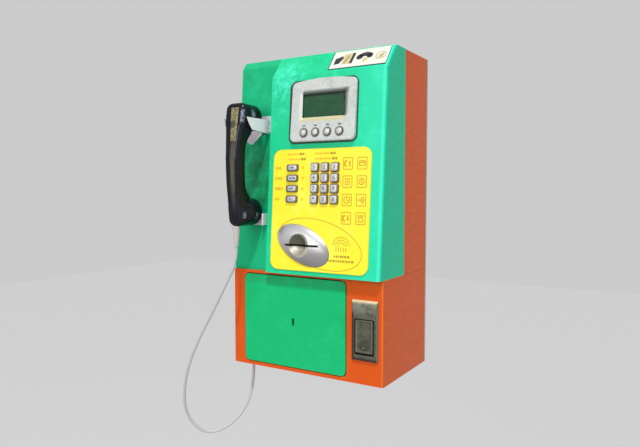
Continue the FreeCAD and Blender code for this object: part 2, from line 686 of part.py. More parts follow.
def window_taper(front, back):
    """Window opening with sloping sides, wider at the face."""
    wires = []
    for y, grow in ((front - TAPER_OVER, WINDOW_CHAMFER), (back + TAPER_OVER, 0)):
        x0, x1 = BEZEL_X - WINDOW_WIDTH / 2 - grow, BEZEL_X + WINDOW_WIDTH / 2 + grow
        z0, z1 = WINDOW_Z - WINDOW_HEIGHT / 2 - grow, WINDOW_Z + WINDOW_HEIGHT / 2 + grow
        corners = [V(x0, y, z0), V(x1, y, z0), V(x1, y, z1), V(x0, y, z1)]
        wires.append(Part.makePolygon(corners + corners[:1]))
    return Part.makeLoft(wires, True, True)


def round_seat_y():
    """Depth of the shoulder that the round keys' collars stop against."""
    return -(COLLAR_THICK + ROUND_KEY_TRAVEL + 2 * RUN_GAP + COLLAR_GAP)


def make_display_stack():
    pane_y = -BEZEL_DEPTH + PANE_RECESS
    pane_lip = PANE_LIP - PANE_CLEAR
    pane = rounded_plate(BEZEL_X, WINDOW_Z, WINDOW_WIDTH + 2 * pane_lip,
                         WINDOW_HEIGHT + 2 * pane_lip, KEY_CORNER - PANE_CLEAR,
                         pane_y, pane_y + PANE_THICK)
    save("display_window", on_front(pane))
    lcd_y = pane_y + PANE_THICK + RUN_GAP
    board_y = max(lcd_y + LCD_THICK, SHEET + BOARD_STANDOFF)
    save("lcd_module", on_front(block(BEZEL_X - WINDOW_WIDTH / 2, BEZEL_X + WINDOW_WIDTH / 2,
                                      lcd_y, board_y, WINDOW_Z - WINDOW_HEIGHT / 2,
                                      WINDOW_Z + WINDOW_HEIGHT / 2)))
    half_w = BEZEL_WIDTH / 2 - BEZEL_CORNER
    board_foot = BEZEL_FOOT + SPACER_RADIUS
    board_top = WINDOW_Z + WINDOW_HEIGHT / 2 + PANE_LIP + 2 * SPACER_RADIUS
    board = block(BEZEL_X - half_w, BEZEL_X + half_w, board_y, board_y + PCB_THICK,
                  board_foot, board_top)
    pieces = [board]
    for x in (BEZEL_X - half_w + SPACER_RADIUS, BEZEL_X + half_w - SPACER_RADIUS):
        for z in (board_foot + SPACER_RADIUS, board_top - SPACER_RADIUS):
            pieces.append(rod(SPACER_RADIUS, (x, SHEET, z), (x, board_y, z)))
    collar_back = round_seat_y() + COLLAR_GAP + COLLAR_THICK
    switch_top = collar_back + ROUND_KEY_TRAVEL + RUN_GAP
    cap_front = bezel_face_y(ROUND_KEY_Z) - ROUND_KEY_PROUD
    for i, x in enumerate(round_key_places()):
        cap = rod(ROUND_KEY_RADIUS, (x, cap_front, ROUND_KEY_Z), (x, collar_back, ROUND_KEY_Z))
        rim = [e for e in cap.Edges if e.BoundBox.YMax < cap_front + TINY]
        cap = cap.makeFillet(ROUND_KEY_PROUD, rim)
        collar = rod(ROUND_COLLAR_RADIUS, (x, collar_back - COLLAR_THICK, ROUND_KEY_Z),
                     (x, collar_back, ROUND_KEY_Z))
        save(f"round_key_{i + 1}", on_front(fuse([cap, collar])))
        pieces.append(rod(SWITCH_RADIUS, (x, switch_top, ROUND_KEY_Z), (x, board_y, ROUND_KEY_Z)))
    save("display_board", on_front(fuse(pieces)))


# -------------------------------------------------------------- card reader
def throat_block(grow, y0, y1):
    """Outer shape of the card throat, grown on every side."""
    half_w = CARD_SLOT_WIDTH / 2 + THROAT_WALL + grow
    half_h = CARD_SLOT_HEIGHT / 2 + THROAT_WALL + grow
    return block(DOME_X - half_w, DOME_X + half_w, y0, y1, DOME_Z - half_h, DOME_Z + half_h)


def card_gap(y0, y1):
    return block(DOME_X - CARD_SLOT_WIDTH / 2, DOME_X + CARD_SLOT_WIDTH / 2, y0, y1,
                 DOME_Z - CARD_SLOT_HEIGHT / 2, DOME_Z + CARD_SLOT_HEIGHT / 2)


def make_card_dome():
    """Domed oval escutcheon, turned on the fascia, with a round finger dish."""
    half_depth = DOME_PROUD + DOME_SINK
    grow = 1 / math.sqrt(1 - (DOME_SINK / half_depth) ** 2)
    stretch = FreeCAD.Matrix()
    stretch.scale(DOME_HALF_WIDTH * grow, half_depth, DOME_HALF_HEIGHT * grow)
    dome = Part.makeSphere(1.0).transformGeometry(stretch)
    dome.rotate(V(0, 0, 0), V(0, 1, 0), DOME_TURN)
    dome.translate(V(DOME_X, DOME_SINK - FASCIA_THICK, DOME_Z))
    reach = DOME_HALF_WIDTH * 2
    front_half = block(DOME_X - reach, DOME_X + reach, -reach, -FASCIA_THICK,
                       DOME_Z - reach, DOME_Z + reach)
    dome = dome.common(front_half)
    bowl_radius = (DISH_RADIUS ** 2 + DISH_DEPTH ** 2) / (2 * DISH_DEPTH)
    bowl_y = -FASCIA_THICK - DOME_PROUD + DISH_DEPTH - bowl_radius
    bowl = Part.makeSphere(bowl_radius, V(DOME_X + DISH_SHIFT, bowl_y, DOME_Z))
    save("card_dome", on_front(cut(dome, [bowl, card_gap(-reach, reach)])))


def make_card_reader():
    back = SHEET + READER_DEPTH
    body = rounded_plate(DOME_X, DOME_Z, READER_WIDTH, READER_HEIGHT, KEY_CORNER, SHEET, back)
    throat = throat_block(0, -FASCIA_THICK, SHEET)
    save("card_reader", on_front(cut(fuse([body, throat]),
                                     [card_gap(-FASCIA_THICK - OVER, SHEET + CARD_TRAVEL)])))


# -------------------------------------------------------- label, coin entry
def make_label():
    label = block(COIN_X - LABEL_WIDTH / 2, COIN_X + LABEL_WIDTH / 2,
                  -LABEL_THICK, 0, LABEL_FOOT_GAP, SLOPE_LENGTH - LABEL_TOP_GAP)
    save("instruction_label", on_slope(label))


def make_coin_entry():
    plate = block(COIN_X - COIN_PLATE_WIDTH / 2, COIN_X + COIN_PLATE_WIDTH / 2,
                  COIN_Y - COIN_PLATE_DEPTH / 2, COIN_Y + COIN_PLATE_DEPTH / 2,
                  TOP_Z, TOP_Z + COIN_PLATE_THICK)
    plate = plate.makeFillet(KEY_CORNER, edges_along(plate, V(0, 0, 1)))
    slot = block(COIN_X - COIN_SLOT_WIDTH / 2, COIN_X + COIN_SLOT_WIDTH / 2,
                 COIN_Y - COIN_SLOT_GAP / 2, COIN_Y + COIN_SLOT_GAP / 2,
                 TOP_Z - OVER, TOP_Z + COIN_PLATE_THICK + OVER)
    save("coin_entry", cut(plate, [slot]))


def chute_block(grow, z0, z1):
    return block(COIN_X - CHUTE_X / 2 - grow, COIN_X + CHUTE_X / 2 + grow,
                 COIN_Y - CHUTE_Y / 2 - grow, COIN_Y + CHUTE_Y / 2 + grow, z0, z1)


def make_coin_path():
    """Upper chute, validator and lower chute, one below the other."""
    validator_top = TOP_Z - VALIDATOR_DROP
    validator_foot = validator_top - VALIDATOR_HEIGHT
    upper = cut(chute_block(CHUTE_WALL, validator_top, TOP_Z - SHEET),
                [chute_block(0, validator_top - OVER, TOP_Z)])
    body = block(COIN_X - VALIDATOR_WIDTH / 2, COIN_X + VALIDATOR_WIDTH / 2,
                 COIN_Y - VALIDATOR_DEPTH / 2, COIN_Y + VALIDATOR_DEPTH / 2,
                 validator_foot, validator_top)
    save("coin_validator", cut(body, [chute_block(0, validator_foot - OVER, validator_top + OVER)]))
    case_top = SEAM_Z - LOWER_WALL
    lower = cut(chute_block(CHUTE_WALL, case_top, validator_foot),
                [chute_block(0, case_top - OVER, validator_foot + OVER)])
    save("coin_chute", Part.makeCompound([upper, lower]))


# --------------------------------------------------------------- lower case
def door_opening(grow, y0, y1):
    return rounded_plate(DOOR_X, DOOR_Z, DOOR_WIDTH + 2 * grow, DOOR_HEIGHT + 2 * grow,
                         DOOR_CORNER + grow, y0, y1)


def pin_rods(radius, over):
    """Upper and lower hinge pins, from inside the door to the frame."""
    reach = HINGE_PIN_REACH + over
    pins = []
    for side in (-1, 1):
        edge = DOOR_Z + side * DOOR_HEIGHT / 2
        inner = edge - side * reach
        outer = edge + side * (DOOR_GAP + FRAME_WALL / 2 + over)
        pins.append(rod(radius, (PIVOT_X, PIVOT_Y, min(inner, outer)),
                        (PIVOT_X, PIVOT_Y, max(inner, outer))))
    return pins


def make_lower_case():
    outer = block(LEFT, RIGHT, -LOWER_DEPTH, -BACK_THICK, FLOOR_Z, SEAM_Z)
    fronts = [e for e in edges_along(outer, V(0, 0, 1)) if e.BoundBox.YMax < -LOWER_DEPTH + OVER]
    outer = outer.makeFillet(LOWER_CORNER, fronts)
    wall = LOWER_WALL
    inner = block(LEFT + wall, RIGHT - wall, -LOWER_DEPTH + wall, -BACK_THICK + OVER,
                  FLOOR_Z + wall, SEAM_Z - wall)
    shell = cut(outer, [inner])
    front, back = -LOWER_DEPTH + wall / 2, -LOWER_DEPTH + FRAME_DEPTH
    clip = block(LEFT + wall / 2, RIGHT - wall / 2, front, back, FLOOR_Z + wall / 2, SEAM_Z - wall / 2)
    ring = door_opening(DOOR_GAP + FRAME_WALL, front, back).common(clip)
    keeper_x = DOOR_X - DOOR_WIDTH / 2 - DOOR_GAP - KEEPER_STEP
    bolt_front = bolt_span()[0]
    keeper = block(keeper_x - KEEPER_WIDTH, keeper_x, back - OVER, bolt_front - RUN_GAP,
                   DOOR_Z - BOLT_HEIGHT, DOOR_Z + BOLT_HEIGHT)
    keeper_foot = block(keeper_x - KEEPER_WIDTH, keeper_x, -LOWER_DEPTH + wall / 2, back,
                        DOOR_Z - BOLT_HEIGHT, DOOR_Z + BOLT_HEIGHT)
    shell = fuse([shell, ring, keeper, keeper_foot] + cash_box_runners())
    flap_hole = block(RETURN_X - FLAP_WIDTH / 2 - CUP_CLEAR, RETURN_X + FLAP_WIDTH / 2 + CUP_CLEAR,
                      -LOWER_DEPTH - OVER, -LOWER_DEPTH + wall + OVER, FLAP_Z0 - CUP_CLEAR,
                      FLAP_PIVOT_Z + FLAP_BARREL + CUP_CLEAR)
    tools = [door_opening(DOOR_GAP, -LOWER_DEPTH - OVER, back + OVER), flap_hole,
             chute_block(CHUTE_WALL + APERTURE_GAP, SEAM_Z - 2 * wall, SEAM_Z + OVER),
             rod(GLAND_NOSE_RADIUS + CORD_FIT, (GLAND_X, GLAND_Y, FLOOR_Z - OVER),
                 (GLAND_X, GLAND_Y, FLOOR_Z + 2 * wall))]
    save("lower_case", cut(shell, tools + pin_rods(HINGE_PIN_RADIUS + PIN_FIT, RUN_GAP)))


def make_vault_door():
    door = rounded_plate(DOOR_X, DOOR_Z, DOOR_WIDTH, DOOR_HEIGHT, DOOR_CORNER,
                         -DOOR_FRONT, -DOOR_BACK)
    keyhole = rounded_plate(DOOR_X, DOOR_Z, KEYHOLE_WIDTH, KEYHOLE_HEIGHT,
                            KEYHOLE_WIDTH / 2 - PIN_FIT, -DOOR_FRONT - OVER, -DOOR_BACK + OVER)
    _, bolt_back, reach = bolt_span()
    guides = [bolt_guide(DOOR_X - reach * share, bolt_back) for share in GUIDE_SHARES]
    save("vault_door", fuse([cut(door, [keyhole])] + pin_rods(HINGE_PIN_RADIUS, 0) + guides))


def bolt_span():
    """Front and back of the bolt, and its reach to the left at rest."""
    front = -DOOR_BACK + LOCK_LENGTH + CRANK_WEB + 2 * RUN_GAP
    return front, front + BOLT_THICK, DOOR_WIDTH / 2 - BOLT_SETBACK


def make_vault_lock():
    """Lock body on the door's back, turning plug with a crank pin, and the bolt it slides."""
    body_front, body_back = -DOOR_BACK, -DOOR_BACK + LOCK_LENGTH
    body = rod(LOCK_RADIUS, (DOOR_X, body_front, DOOR_Z), (DOOR_X, body_back, DOOR_Z))
    bore = rod(PLUG_RADIUS + PIN_FIT, (DOOR_X, body_front - OVER, DOOR_Z),
               (DOOR_X, body_back + OVER, DOOR_Z))
    save("lock_body", cut(body, [bore]))
    bolt_y0, bolt_y1, reach = bolt_span()
    web_front, web_back = body_back + RUN_GAP, bolt_y0 - RUN_GAP
    plug = rod(PLUG_RADIUS, (DOOR_X, body_front + RUN_GAP, DOOR_Z), (DOOR_X, web_back, DOOR_Z))
    web = rod(CRANK_RADIUS + CRANK_PIN_RADIUS + CRANK_RIM, (DOOR_X, web_front, DOOR_Z),
              (DOOR_X, web_back, DOOR_Z))
    # the crank pin starts an eighth of a turn to the right, so a quarter turn carries it across
    pin_x = DOOR_X + CRANK_RADIUS * math.sin(math.pi / 4)
    pin_z = DOOR_Z + CRANK_RADIUS * math.cos(math.pi / 4)
    pin = rod(CRANK_PIN_RADIUS, (pin_x, web_front, pin_z), (pin_x, bolt_y1, pin_z))
    keyway = block(DOOR_X - KEYWAY_WIDTH / 2, DOOR_X + KEYWAY_WIDTH / 2, body_front,
                   body_front + LOCK_LENGTH / 2, DOOR_Z - KEYHOLE_HEIGHT / 3,
                   DOOR_Z + KEYHOLE_HEIGHT / 3)
    save("lock_plug", cut(fuse([plug, web, pin]), [keyway]))
    bolt = block(DOOR_X - reach, DOOR_X + BOLT_TAIL, bolt_y0, bolt_y1,
                 DOOR_Z - BOLT_HEIGHT / 2, DOOR_Z + BOLT_HEIGHT / 2)
    half = CRANK_PIN_RADIUS + SLOT_CLEAR
    slot = block(pin_x - half, pin_x + half, bolt_y0 - OVER, bolt_y1 + OVER, pin_z - half,
                 DOOR_Z + CRANK_RADIUS + half)
    save("lock_bolt", cut(bolt, [slot]))


def bolt_guide(x, bolt_back):
    """Bridge over the bolt, standing on the door's back."""
    side = RUN_GAP + GUIDE_WALL
    half = BOLT_HEIGHT / 2
    outer = block(x - GUIDE_WALL, x + GUIDE_WALL, -DOOR_BACK, bolt_back + side,
                  DOOR_Z - half - side, DOOR_Z + half + side)
    inner = block(x - GUIDE_WALL - OVER, x + GUIDE_WALL + OVER, -DOOR_BACK - OVER, bolt_back + RUN_GAP,
                  DOOR_Z - half - RUN_GAP, DOOR_Z + half + RUN_GAP)
    return cut(outer, [inner])


# --------------------------------------------------------------- coin return
def make_coin_return():
    front, back = -LOWER_DEPTH - RETURN_PLATE_THICK, -LOWER_DEPTH
    plate = block(RETURN_X - RETURN_WIDTH / 2, RETURN_X + RETURN_WIDTH / 2, front, back,
                  RETURN_Z - RETURN_HEIGHT / 2, RETURN_Z + RETURN_HEIGHT / 2)
    mid = FLAP_Z0 + FLAP_HEIGHT / 2
    window = rounded_plate(RETURN_X, mid, FLAP_WIDTH, FLAP_HEIGHT, KEY_CORNER, front - OVER, back + OVER)
    rim = [e for e in plate.Edges if e.BoundBox.YMax < front + TINY]
    plate = plate.makeChamfer(RETURN_PLATE_THICK / 3, rim)
    save("return_plate", cut(plate, [window]))
    half_cup = FLAP_WIDTH / 2 + CUP_CLEAR
    cup_front = -LOWER_DEPTH + LOWER_WALL
    cup_top = FLAP_PIVOT_Z + FLAP_BARREL + CUP_CLEAR + CUP_WALL
    cup_foot = FLAP_Z0 - CUP_BELOW
    cup = block(RETURN_X - half_cup - CUP_WALL, RETURN_X + half_cup + CUP_WALL, cup_front,
                cup_front + CUP_DEPTH, cup_foot, cup_top)
    hollow = block(RETURN_X - half_cup, RETURN_X + half_cup, cup_front - OVER,
                   cup_front + CUP_DEPTH - CUP_WALL, cup_foot + CUP_WALL, cup_top - CUP_WALL)
    pin_bore = flap_rod(FLAP_PIN_RADIUS + PIN_FIT, half_cup + CUP_WALL + OVER)
    mouth = chute_block(0, cup_top - 2 * CUP_WALL, cup_top + OVER)
    save("return_cup", cut(cup, [hollow, pin_bore, mouth]))
    make_return_flap()


def flap_rod(radius, half):
    return rod(radius, (RETURN_X - half, FLAP_PIVOT_Y, FLAP_PIVOT_Z),
               (RETURN_X + half, FLAP_PIVOT_Y, FLAP_PIVOT_Z))


def make_return_flap():
    half = FLAP_WIDTH / 2 + CUP_CLEAR / 2
    leaf = block(RETURN_X - half, RETURN_X + half, FLAP_PIVOT_Y - FLAP_THICK / 2,
                 FLAP_PIVOT_Y + FLAP_THICK / 2, FLAP_Z0 + RUN_GAP, FLAP_PIVOT_Z)
    knob = rod(FLAP_KNOB_RADIUS, (RETURN_X, FLAP_PIVOT_Y - FLAP_THICK, FLAP_Z0 + FLAP_HEIGHT / 4),
               (RETURN_X, FLAP_PIVOT_Y, FLAP_Z0 + FLAP_HEIGHT / 4))
    barrel = flap_rod(FLAP_BARREL, half)
    trunnions = flap_rod(FLAP_PIN_RADIUS, FLAP_WIDTH / 2 + CUP_CLEAR + CUP_WALL)
    save("return_flap", fuse([leaf, barrel, knob, trunnions]))


# ------------------------------------------------------------------ cash box
def cash_span():
    x0 = DOOR_X - DOOR_WIDTH / 2 + CASH_MARGIN
    x1 = DOOR_X + DOOR_WIDTH / 2 - CASH_MARGIN
    guide_back = bolt_span()[1] + RUN_GAP + GUIDE_WALL
    return x0, x1, guide_back + CASH_LOCK_GAP, -BACK_THICK - CASH_BACK_GAP


def make_cash_box():
    x0, x1, y0, y1 = cash_span()
    z0 = FLOOR_Z + LOWER_WALL + RUNNER_HEIGHT
    z1 = z0 + CASH_HEIGHT
    wall = CASH_WALL
    outer = block(x0, x1, y0, y1, z0, z1)
    inner = block(x0 + wall, x1 - wall, y0 + wall, y1 - wall, z0 + wall, z1 + OVER)
    save("cash_box", cut(outer, [inner]))
    lid = block(x0, x1, y0, y1, z1, z1 + LID_THICK)
    mid_x, mid_y = (x0 + x1) / 2, (y0 + y1) / 2
    drop = block(mid_x - COIN_DROP_X / 2, mid_x + COIN_DROP_X / 2, mid_y - COIN_DROP_Y / 2,
                 mid_y + COIN_DROP_Y / 2, z1 - OVER, z1 + LID_THICK + OVER)
    save("cash_box_lid", cut(lid, [drop]))


def cash_box_runners():
    x0, x1, y0, y1 = cash_span()
    foot, top = FLOOR_Z + LOWER_WALL / 2, FLOOR_Z + LOWER_WALL + RUNNER_HEIGHT
    return [block(x, x + RUNNER_WIDTH, y0, y1, foot, top) for x in (x0, x1 - RUNNER_WIDTH)]


# --------------------------------------------------------------- electronics
def main_board_middle():
    return SEAM_Z + MAIN_BOARD_FOOT + MAIN_BOARD_HEIGHT / 2


def board_screw_places():
    reach_x = MAIN_BOARD_WIDTH / 2 - STANDOFF_INSET
    reach_z = MAIN_BOARD_HEIGHT / 2 - STANDOFF_INSET
    mid_z = main_board_middle()
    return [(MAIN_BOARD_SHIFT + i * reach_x, mid_z + j * reach_z)
            for i in (-1, 1) for j in (-1, 1)]


def make_electronics():
    mid_x = MAIN_BOARD_SHIFT
    mid_z = main_board_middle()
    board_back = -BACK_THICK - STANDOFF_LENGTH
    half_w, half_h = MAIN_BOARD_WIDTH / 2, MAIN_BOARD_HEIGHT / 2
    board = [block(mid_x - half_w, mid_x + half_w, board_back - PCB_THICK, board_back,
                   mid_z - half_h, mid_z + half_h)]
    head_y = board_back - PCB_THICK
    unit_z = mid_z + LINE_UNIT_PLACE
    board.append(block(mid_x - LINE_UNIT_WIDTH / 2, mid_x + LINE_UNIT_WIDTH / 2,
                       head_y - LINE_UNIT_DEPTH, head_y,
                       unit_z - LINE_UNIT_HEIGHT / 2, unit_z + LINE_UNIT_HEIGHT / 2))
    chip_x, chip_z = mid_x - PROCESSOR_PLACE, mid_z - PROCESSOR_PLACE
    half = PROCESSOR_WIDTH / 2
    board.append(block(chip_x - half, chip_x + half, head_y - PROCESSOR_DEPTH, head_y,
                       chip_z - half, chip_z + half))
    save("main_board", fuse(board))
    screws = [rod(SCREW_HEAD_RADIUS, (x, head_y - SCREW_HEAD, z), (x, head_y, z))
              for x, z in board_screw_places()]
    save("board_screws", Part.makeCompound(screws))
    ringer_x = RIGHT - SHEET - RINGER_RADIUS - STANDOFF_INSET
    ringer_z = SEAM_Z + SHEET + RINGER_RADIUS + STANDOFF_INSET
    save("ringer", rod(RINGER_RADIUS, (ringer_x, -BACK_THICK - RINGER_DEPTH, ringer_z),
                       (ringer_x, -BACK_THICK, ringer_z)))


# ------------------------------------------------------- cradle, rest, hook
def cheek_pair(outline):
    inner = HEAD_RADIUS + CHEEK_GAP
    left = side_prism(outline, HANDSET_X - inner - CRADLE_SHEET, HANDSET_X - inner)
    right = side_prism(outline, HANDSET_X + inner, HANDSET_X + inner + CRADLE_SHEET)
    return [left, right]


def strip_plate(x0, x1, z0, z1, thick):
    """Plate lying on the handset strip between two heights."""
    outline = [(strip_y(z0) - thick, z0), (strip_y(z0), z0),
               (strip_y(z1), z1), (strip_y(z1) - thick, z1)]
    return side_prism(outline, x0, x1)


def make_cradle():
    plate = strip_plate(LEFT + CRADLE_MARGIN, STEP_X - CRADLE_MARGIN,
                        EAR_HEIGHT - CRADLE_FOOT_DROP, EAR_HEIGHT + CRADLE_TOP_RISE,
                        CRADLE_SHEET)
    cheek = [(strip_y(CHEEK_FOOT) - CRADLE_SHEET / 2, CHEEK_FOOT),
             (strip_y(CHEEK_TOP) - CRADLE_SHEET / 2, CHEEK_TOP),
             (-CHEEK_TIP, CHEEK_TOP), (-CHEEK_TIP + CHEEK_POINT_Y, CHEEK_TOP - CHEEK_POINT_Z),
             (-CHEEK_TIP + 2 * CHEEK_POINT_Y, CHEEK_FOOT + CHEEK_RISE)]
    save("handset_cradle", cut(fuse([plate] + cheek_pair(cheek)), [hook_slot()]))
    rest_plate = strip_plate(HANDSET_X - HEAD_RADIUS - CHEEK_GAP - CRADLE_SHEET,
                             HANDSET_X + HEAD_RADIUS + CHEEK_GAP + CRADLE_SHEET,
                             REST_FOOT, REST_TOP, CRADLE_SHEET)
    ear_front = strip_y(REST_TOP) - REST_REACH
    ear = [(strip_y(REST_FOOT) - CRADLE_SHEET / 2, REST_FOOT),
           (strip_y(REST_TOP) - CRADLE_SHEET / 2, REST_TOP),
           (ear_front, REST_TOP), (ear_front, REST_FOOT)]
    save("mouthpiece_rest", fuse([rest_plate] + cheek_pair(ear)))


def make_hook():
    """Lever that carries the handset: a shelf with a pointed skirt, pivoting behind the strip."""
    shelf_foot = HOOK_SHELF_TOP - HOOK_SHEET
    shelf_back = -HOOK_SKIRT_Y + HOOK_SHEET / 2
    half, slim = HEAD_RADIUS + CHEEK_GAP - HOOK_SIDE_GAP, HOOK_TONGUE_WIDTH / 2
    shelf = block(HANDSET_X - half, HANDSET_X + half, -HEAD_FACE - HOOK_REACH, shelf_back,
                  shelf_foot, HOOK_SHELF_TOP)
    point_z = shelf_foot - HOOK_SKIRT_DROP
    skirt = front_prism([(HANDSET_X - half, HOOK_SHELF_TOP), (HANDSET_X - half, shelf_foot - HOOK_SHEET),
                         (HANDSET_X - HOOK_SKIRT_TIP, point_z), (HANDSET_X + HOOK_SKIRT_TIP, point_z),
                         (HANDSET_X + half, shelf_foot - HOOK_SHEET), (HANDSET_X + half, HOOK_SHELF_TOP)],
                        shelf_back - HOOK_SHEET, shelf_back)
    tongue = block(HANDSET_X - slim, HANDSET_X + slim, shelf_back - HOOK_SHEET, -HOOK_PIVOT_Y,
                   shelf_foot, HOOK_SHELF_TOP)
    tail = block(HANDSET_X - slim / 2, HANDSET_X + slim / 2, -HOOK_PIVOT_Y,
                 -HOOK_PIVOT_Y + HOOK_TAIL, shelf_foot, HOOK_SHELF_TOP)
    barrel = hook_rod(HOOK_BARREL, slim)
    pin = hook_rod(HOOK_PIN_RADIUS, BRACKET_HALF)
    save("hook_lever", fuse([shelf, skirt, tongue, tail, barrel, pin]))
    switch_z = HOOK_SHELF_TOP + RUN_GAP
    reach = BRACKET_HALF - CRADLE_SHEET
    save("hook_switch", block(HANDSET_X - reach, HANDSET_X + reach,
                              -HOOK_PIVOT_Y + HOOK_BARREL + RUN_GAP, hook_bracket_back(),
                              switch_z, switch_z + SWITCH_HEIGHT))


def hook_slot():
    """Passage for the lever's tongue through the cradle's plate and the strip."""
    half = HOOK_TONGUE_WIDTH / 2 + HOOK_SLOT_CLEAR
    rise = HOOK_SHEET / 2 + HOOK_SLOT_CLEAR
    return block(HANDSET_X - half, HANDSET_X + half, -STRIP_FOOT,
                 strip_y(HOOK_PIVOT_Z) + 2 * SHEET, HOOK_PIVOT_Z - rise, HOOK_PIVOT_Z + rise)


def hook_rod(radius, half):
    return rod(radius, (HANDSET_X - half, -HOOK_PIVOT_Y, HOOK_PIVOT_Z),
               (HANDSET_X + half, -HOOK_PIVOT_Y, HOOK_PIVOT_Z))


def hook_bracket_back():
    """Inner face of the bracket's back wall."""
    return -HOOK_PIVOT_Y + HOOK_TAIL + CRADLE_SHEET


def hook_bracket():
    """Channel welded behind the strip; its cheeks hold the lever's pin."""
    half, wall, back = BRACKET_HALF, CRADLE_SHEET, hook_bracket_back()
    low, high = HOOK_PIVOT_Z - BRACKET_HEIGHT / 2, HOOK_PIVOT_Z + BRACKET_HEIGHT / 2
    outline = [(strip_y(low) + SHEET / 2, low), (back + wall, low), (back + wall, high),
               (strip_y(high) + SHEET / 2, high)]
    channel = side_prism(outline, HANDSET_X - half, HANDSET_X + half)
    inside = block(HANDSET_X - half + wall, HANDSET_X + half - wall, -STRIP_FOOT, back,
                   low - OVER, high + OVER)
    return cut(channel, [inside, hook_rod(HOOK_PIN_RADIUS + PIN_FIT, half + OVER)])


# ------------------------------------------------------------------- handset
def make_handset():
    foot = MOUTH_HEIGHT - HEAD_RADIUS
    top = EAR_HEIGHT + HEAD_RADIUS
    middle = (EAR_HEIGHT + MOUTH_HEIGHT) / 2
    x0 = HANDSET_X - HANDLE_WIDTH / 2
    handle_top = top - HANDLE_TOP_DROP
    inner_end = -HEAD_FACE - HANDLE_END_SINK
    a = V(x0, -HEAD_BACK - HANDLE_TOP_PROUD, handle_top)
    b = V(x0, -HEAD_BACK - HANDLE_FOOT_PROUD, foot)
    c, d = V(x0, inner_end, foot), V(x0, inner_end, handle_top)
    e = V(x0, inner_end, MOUTH_HEIGHT + HANDLE_ROOT)
    f = V(x0, inner_end, EAR_HEIGHT - HANDLE_ROOT)
    back = Part.Arc(a, V(x0, -HEAD_BACK - HANDLE_MID_PROUD, middle), b).toShape()
    inner = Part.Arc(e, V(x0, -HEAD_FACE - HANDLE_MID_SINK, middle), f).toShape()
    wire = Part.Wire([back, Part.LineSegment(b, c).toShape(), Part.LineSegment(c, e).toShape(),
                      inner, Part.LineSegment(f, d).toShape(), Part.LineSegment(d, a).toShape()])
    handle = Part.Face(wire).extrude(V(HANDLE_WIDTH, 0, 0))
    round_off = [edge for edge in handle.Edges
                 if edge.BoundBox.XLength < TINY and edge.BoundBox.YMax < inner_end - OVER]
    handle = handle.makeFillet(HANDLE_EDGE, round_off)
    solids = [handle]
    for z in (EAR_HEIGHT, MOUTH_HEIGHT):
        solids.append(rod(HEAD_RADIUS, (HANDSET_X, -HEAD_BACK, z), (HANDSET_X, -HEAD_FACE, z)))
    bores = []
    for z in (EAR_HEIGHT, MOUTH_HEIGHT):
        bores.append(rod(CAPSULE_RADIUS + CAPSULE_CLEAR,
                         (HANDSET_X, -HEAD_FACE - CAPSULE_THICK - CAPSULE_CLEAR, z),
                         (HANDSET_X, -HEAD_FACE + OVER, z)))
    save("handset_shell", cut(fuse(solids), bores))
    heights = (EAR_HEIGHT, MOUTH_HEIGHT)
    save("handset_caps", Part.makeCompound([head_cap(z) for z in heights]))
    capsules = [rod(CAPSULE_RADIUS, (HANDSET_X, -HEAD_FACE - CAPSULE_THICK, z),
                    (HANDSET_X, -HEAD_FACE, z)) for z in heights]
    save("handset_capsules", Part.makeCompound(capsules))
    save("cord_sleeve", cone(SLEEVE_TIP_RADIUS, SLEEVE_TOP_RADIUS,
                             (HANDSET_X, -SLEEVE_Y, foot - SLEEVE_LENGTH), (HANDSET_X, -SLEEVE_Y, foot)))


def head_cap(z):
    cap = rod(HEAD_RADIUS, (HANDSET_X, -HEAD_FACE, z), (HANDSET_X, -HEAD_FACE + CAP_THICK, z))
    rim = [e for e in cap.Edges if e.BoundBox.YMin > -HEAD_FACE + CAP_THICK - TINY]
    cap = cap.makeFillet(CAP_EDGE, rim)
    places = [(HANDSET_X, z)]
    for i in range(SOUND_HOLES):
        turn = 2 * math.pi * i / SOUND_HOLES
        places.append((HANDSET_X + SOUND_RING * math.cos(turn), z + SOUND_RING * math.sin(turn)))
    holes = [rod(SOUND_HOLE_RADIUS, (x, -HEAD_FACE - OVER, hole_z),
                 (x, -HEAD_FACE + CAP_THICK + OVER, hole_z)) for x, hole_z in places]
    return cut(cap, holes)


# ---------------------------------------------------------------------- cord
def cord_points():
    sleeve_z = MOUTH_HEIGHT - HEAD_RADIUS - SLEEVE_LENGTH
    gland_z = FLOOR_Z - GLAND_FLANGE - GLAND_NOSE
    leave = [(HANDSET_X, -SLEEVE_Y, sleeve_z), (HANDSET_X, -SLEEVE_Y, sleeve_z - CORD_FIRST_RUN)]
    enter = [(GLAND_X, GLAND_Y, gland_z - CORD_LAST_RUN), (GLAND_X, GLAND_Y, gland_z)]
    return [V(*p) for p in leave + CORD_ROUTE + enter]


def cord_path(points):
    """Straight runs joined by tangent arcs, each as large as its runs allow."""
    edges, start = [], points[0]
    for before, corner, after in zip(points, points[1:], points[2:]):
        run = min((corner - before).Length, (after - corner).Length)
        into, out = (corner - before).normalize(), (after - corner).normalize()
        turn = into.getAngle(out)
        setback = SETBACK_SHARE * run
        radius = setback / math.tan(turn / 2)
        p0, p1 = corner - into * setback, corner + out * setback
        inward = (out - into).normalize()
        centre_gap = math.hypot(radius, setback)
        middle = corner + inward * (centre_gap - radius)
        edges.append(Part.LineSegment(start, p0).toShape())
        edges.append(Part.Arc(p0, middle, p1).toShape())
        print(f"cord turn {math.degrees(turn):5.1f} deg  radius {radius:6.1f} mm  run {run:5.1f} mm")
        start = p1
    edges.append(Part.LineSegment(start, points[-1]).toShape())
    return Part.Wire(edges)


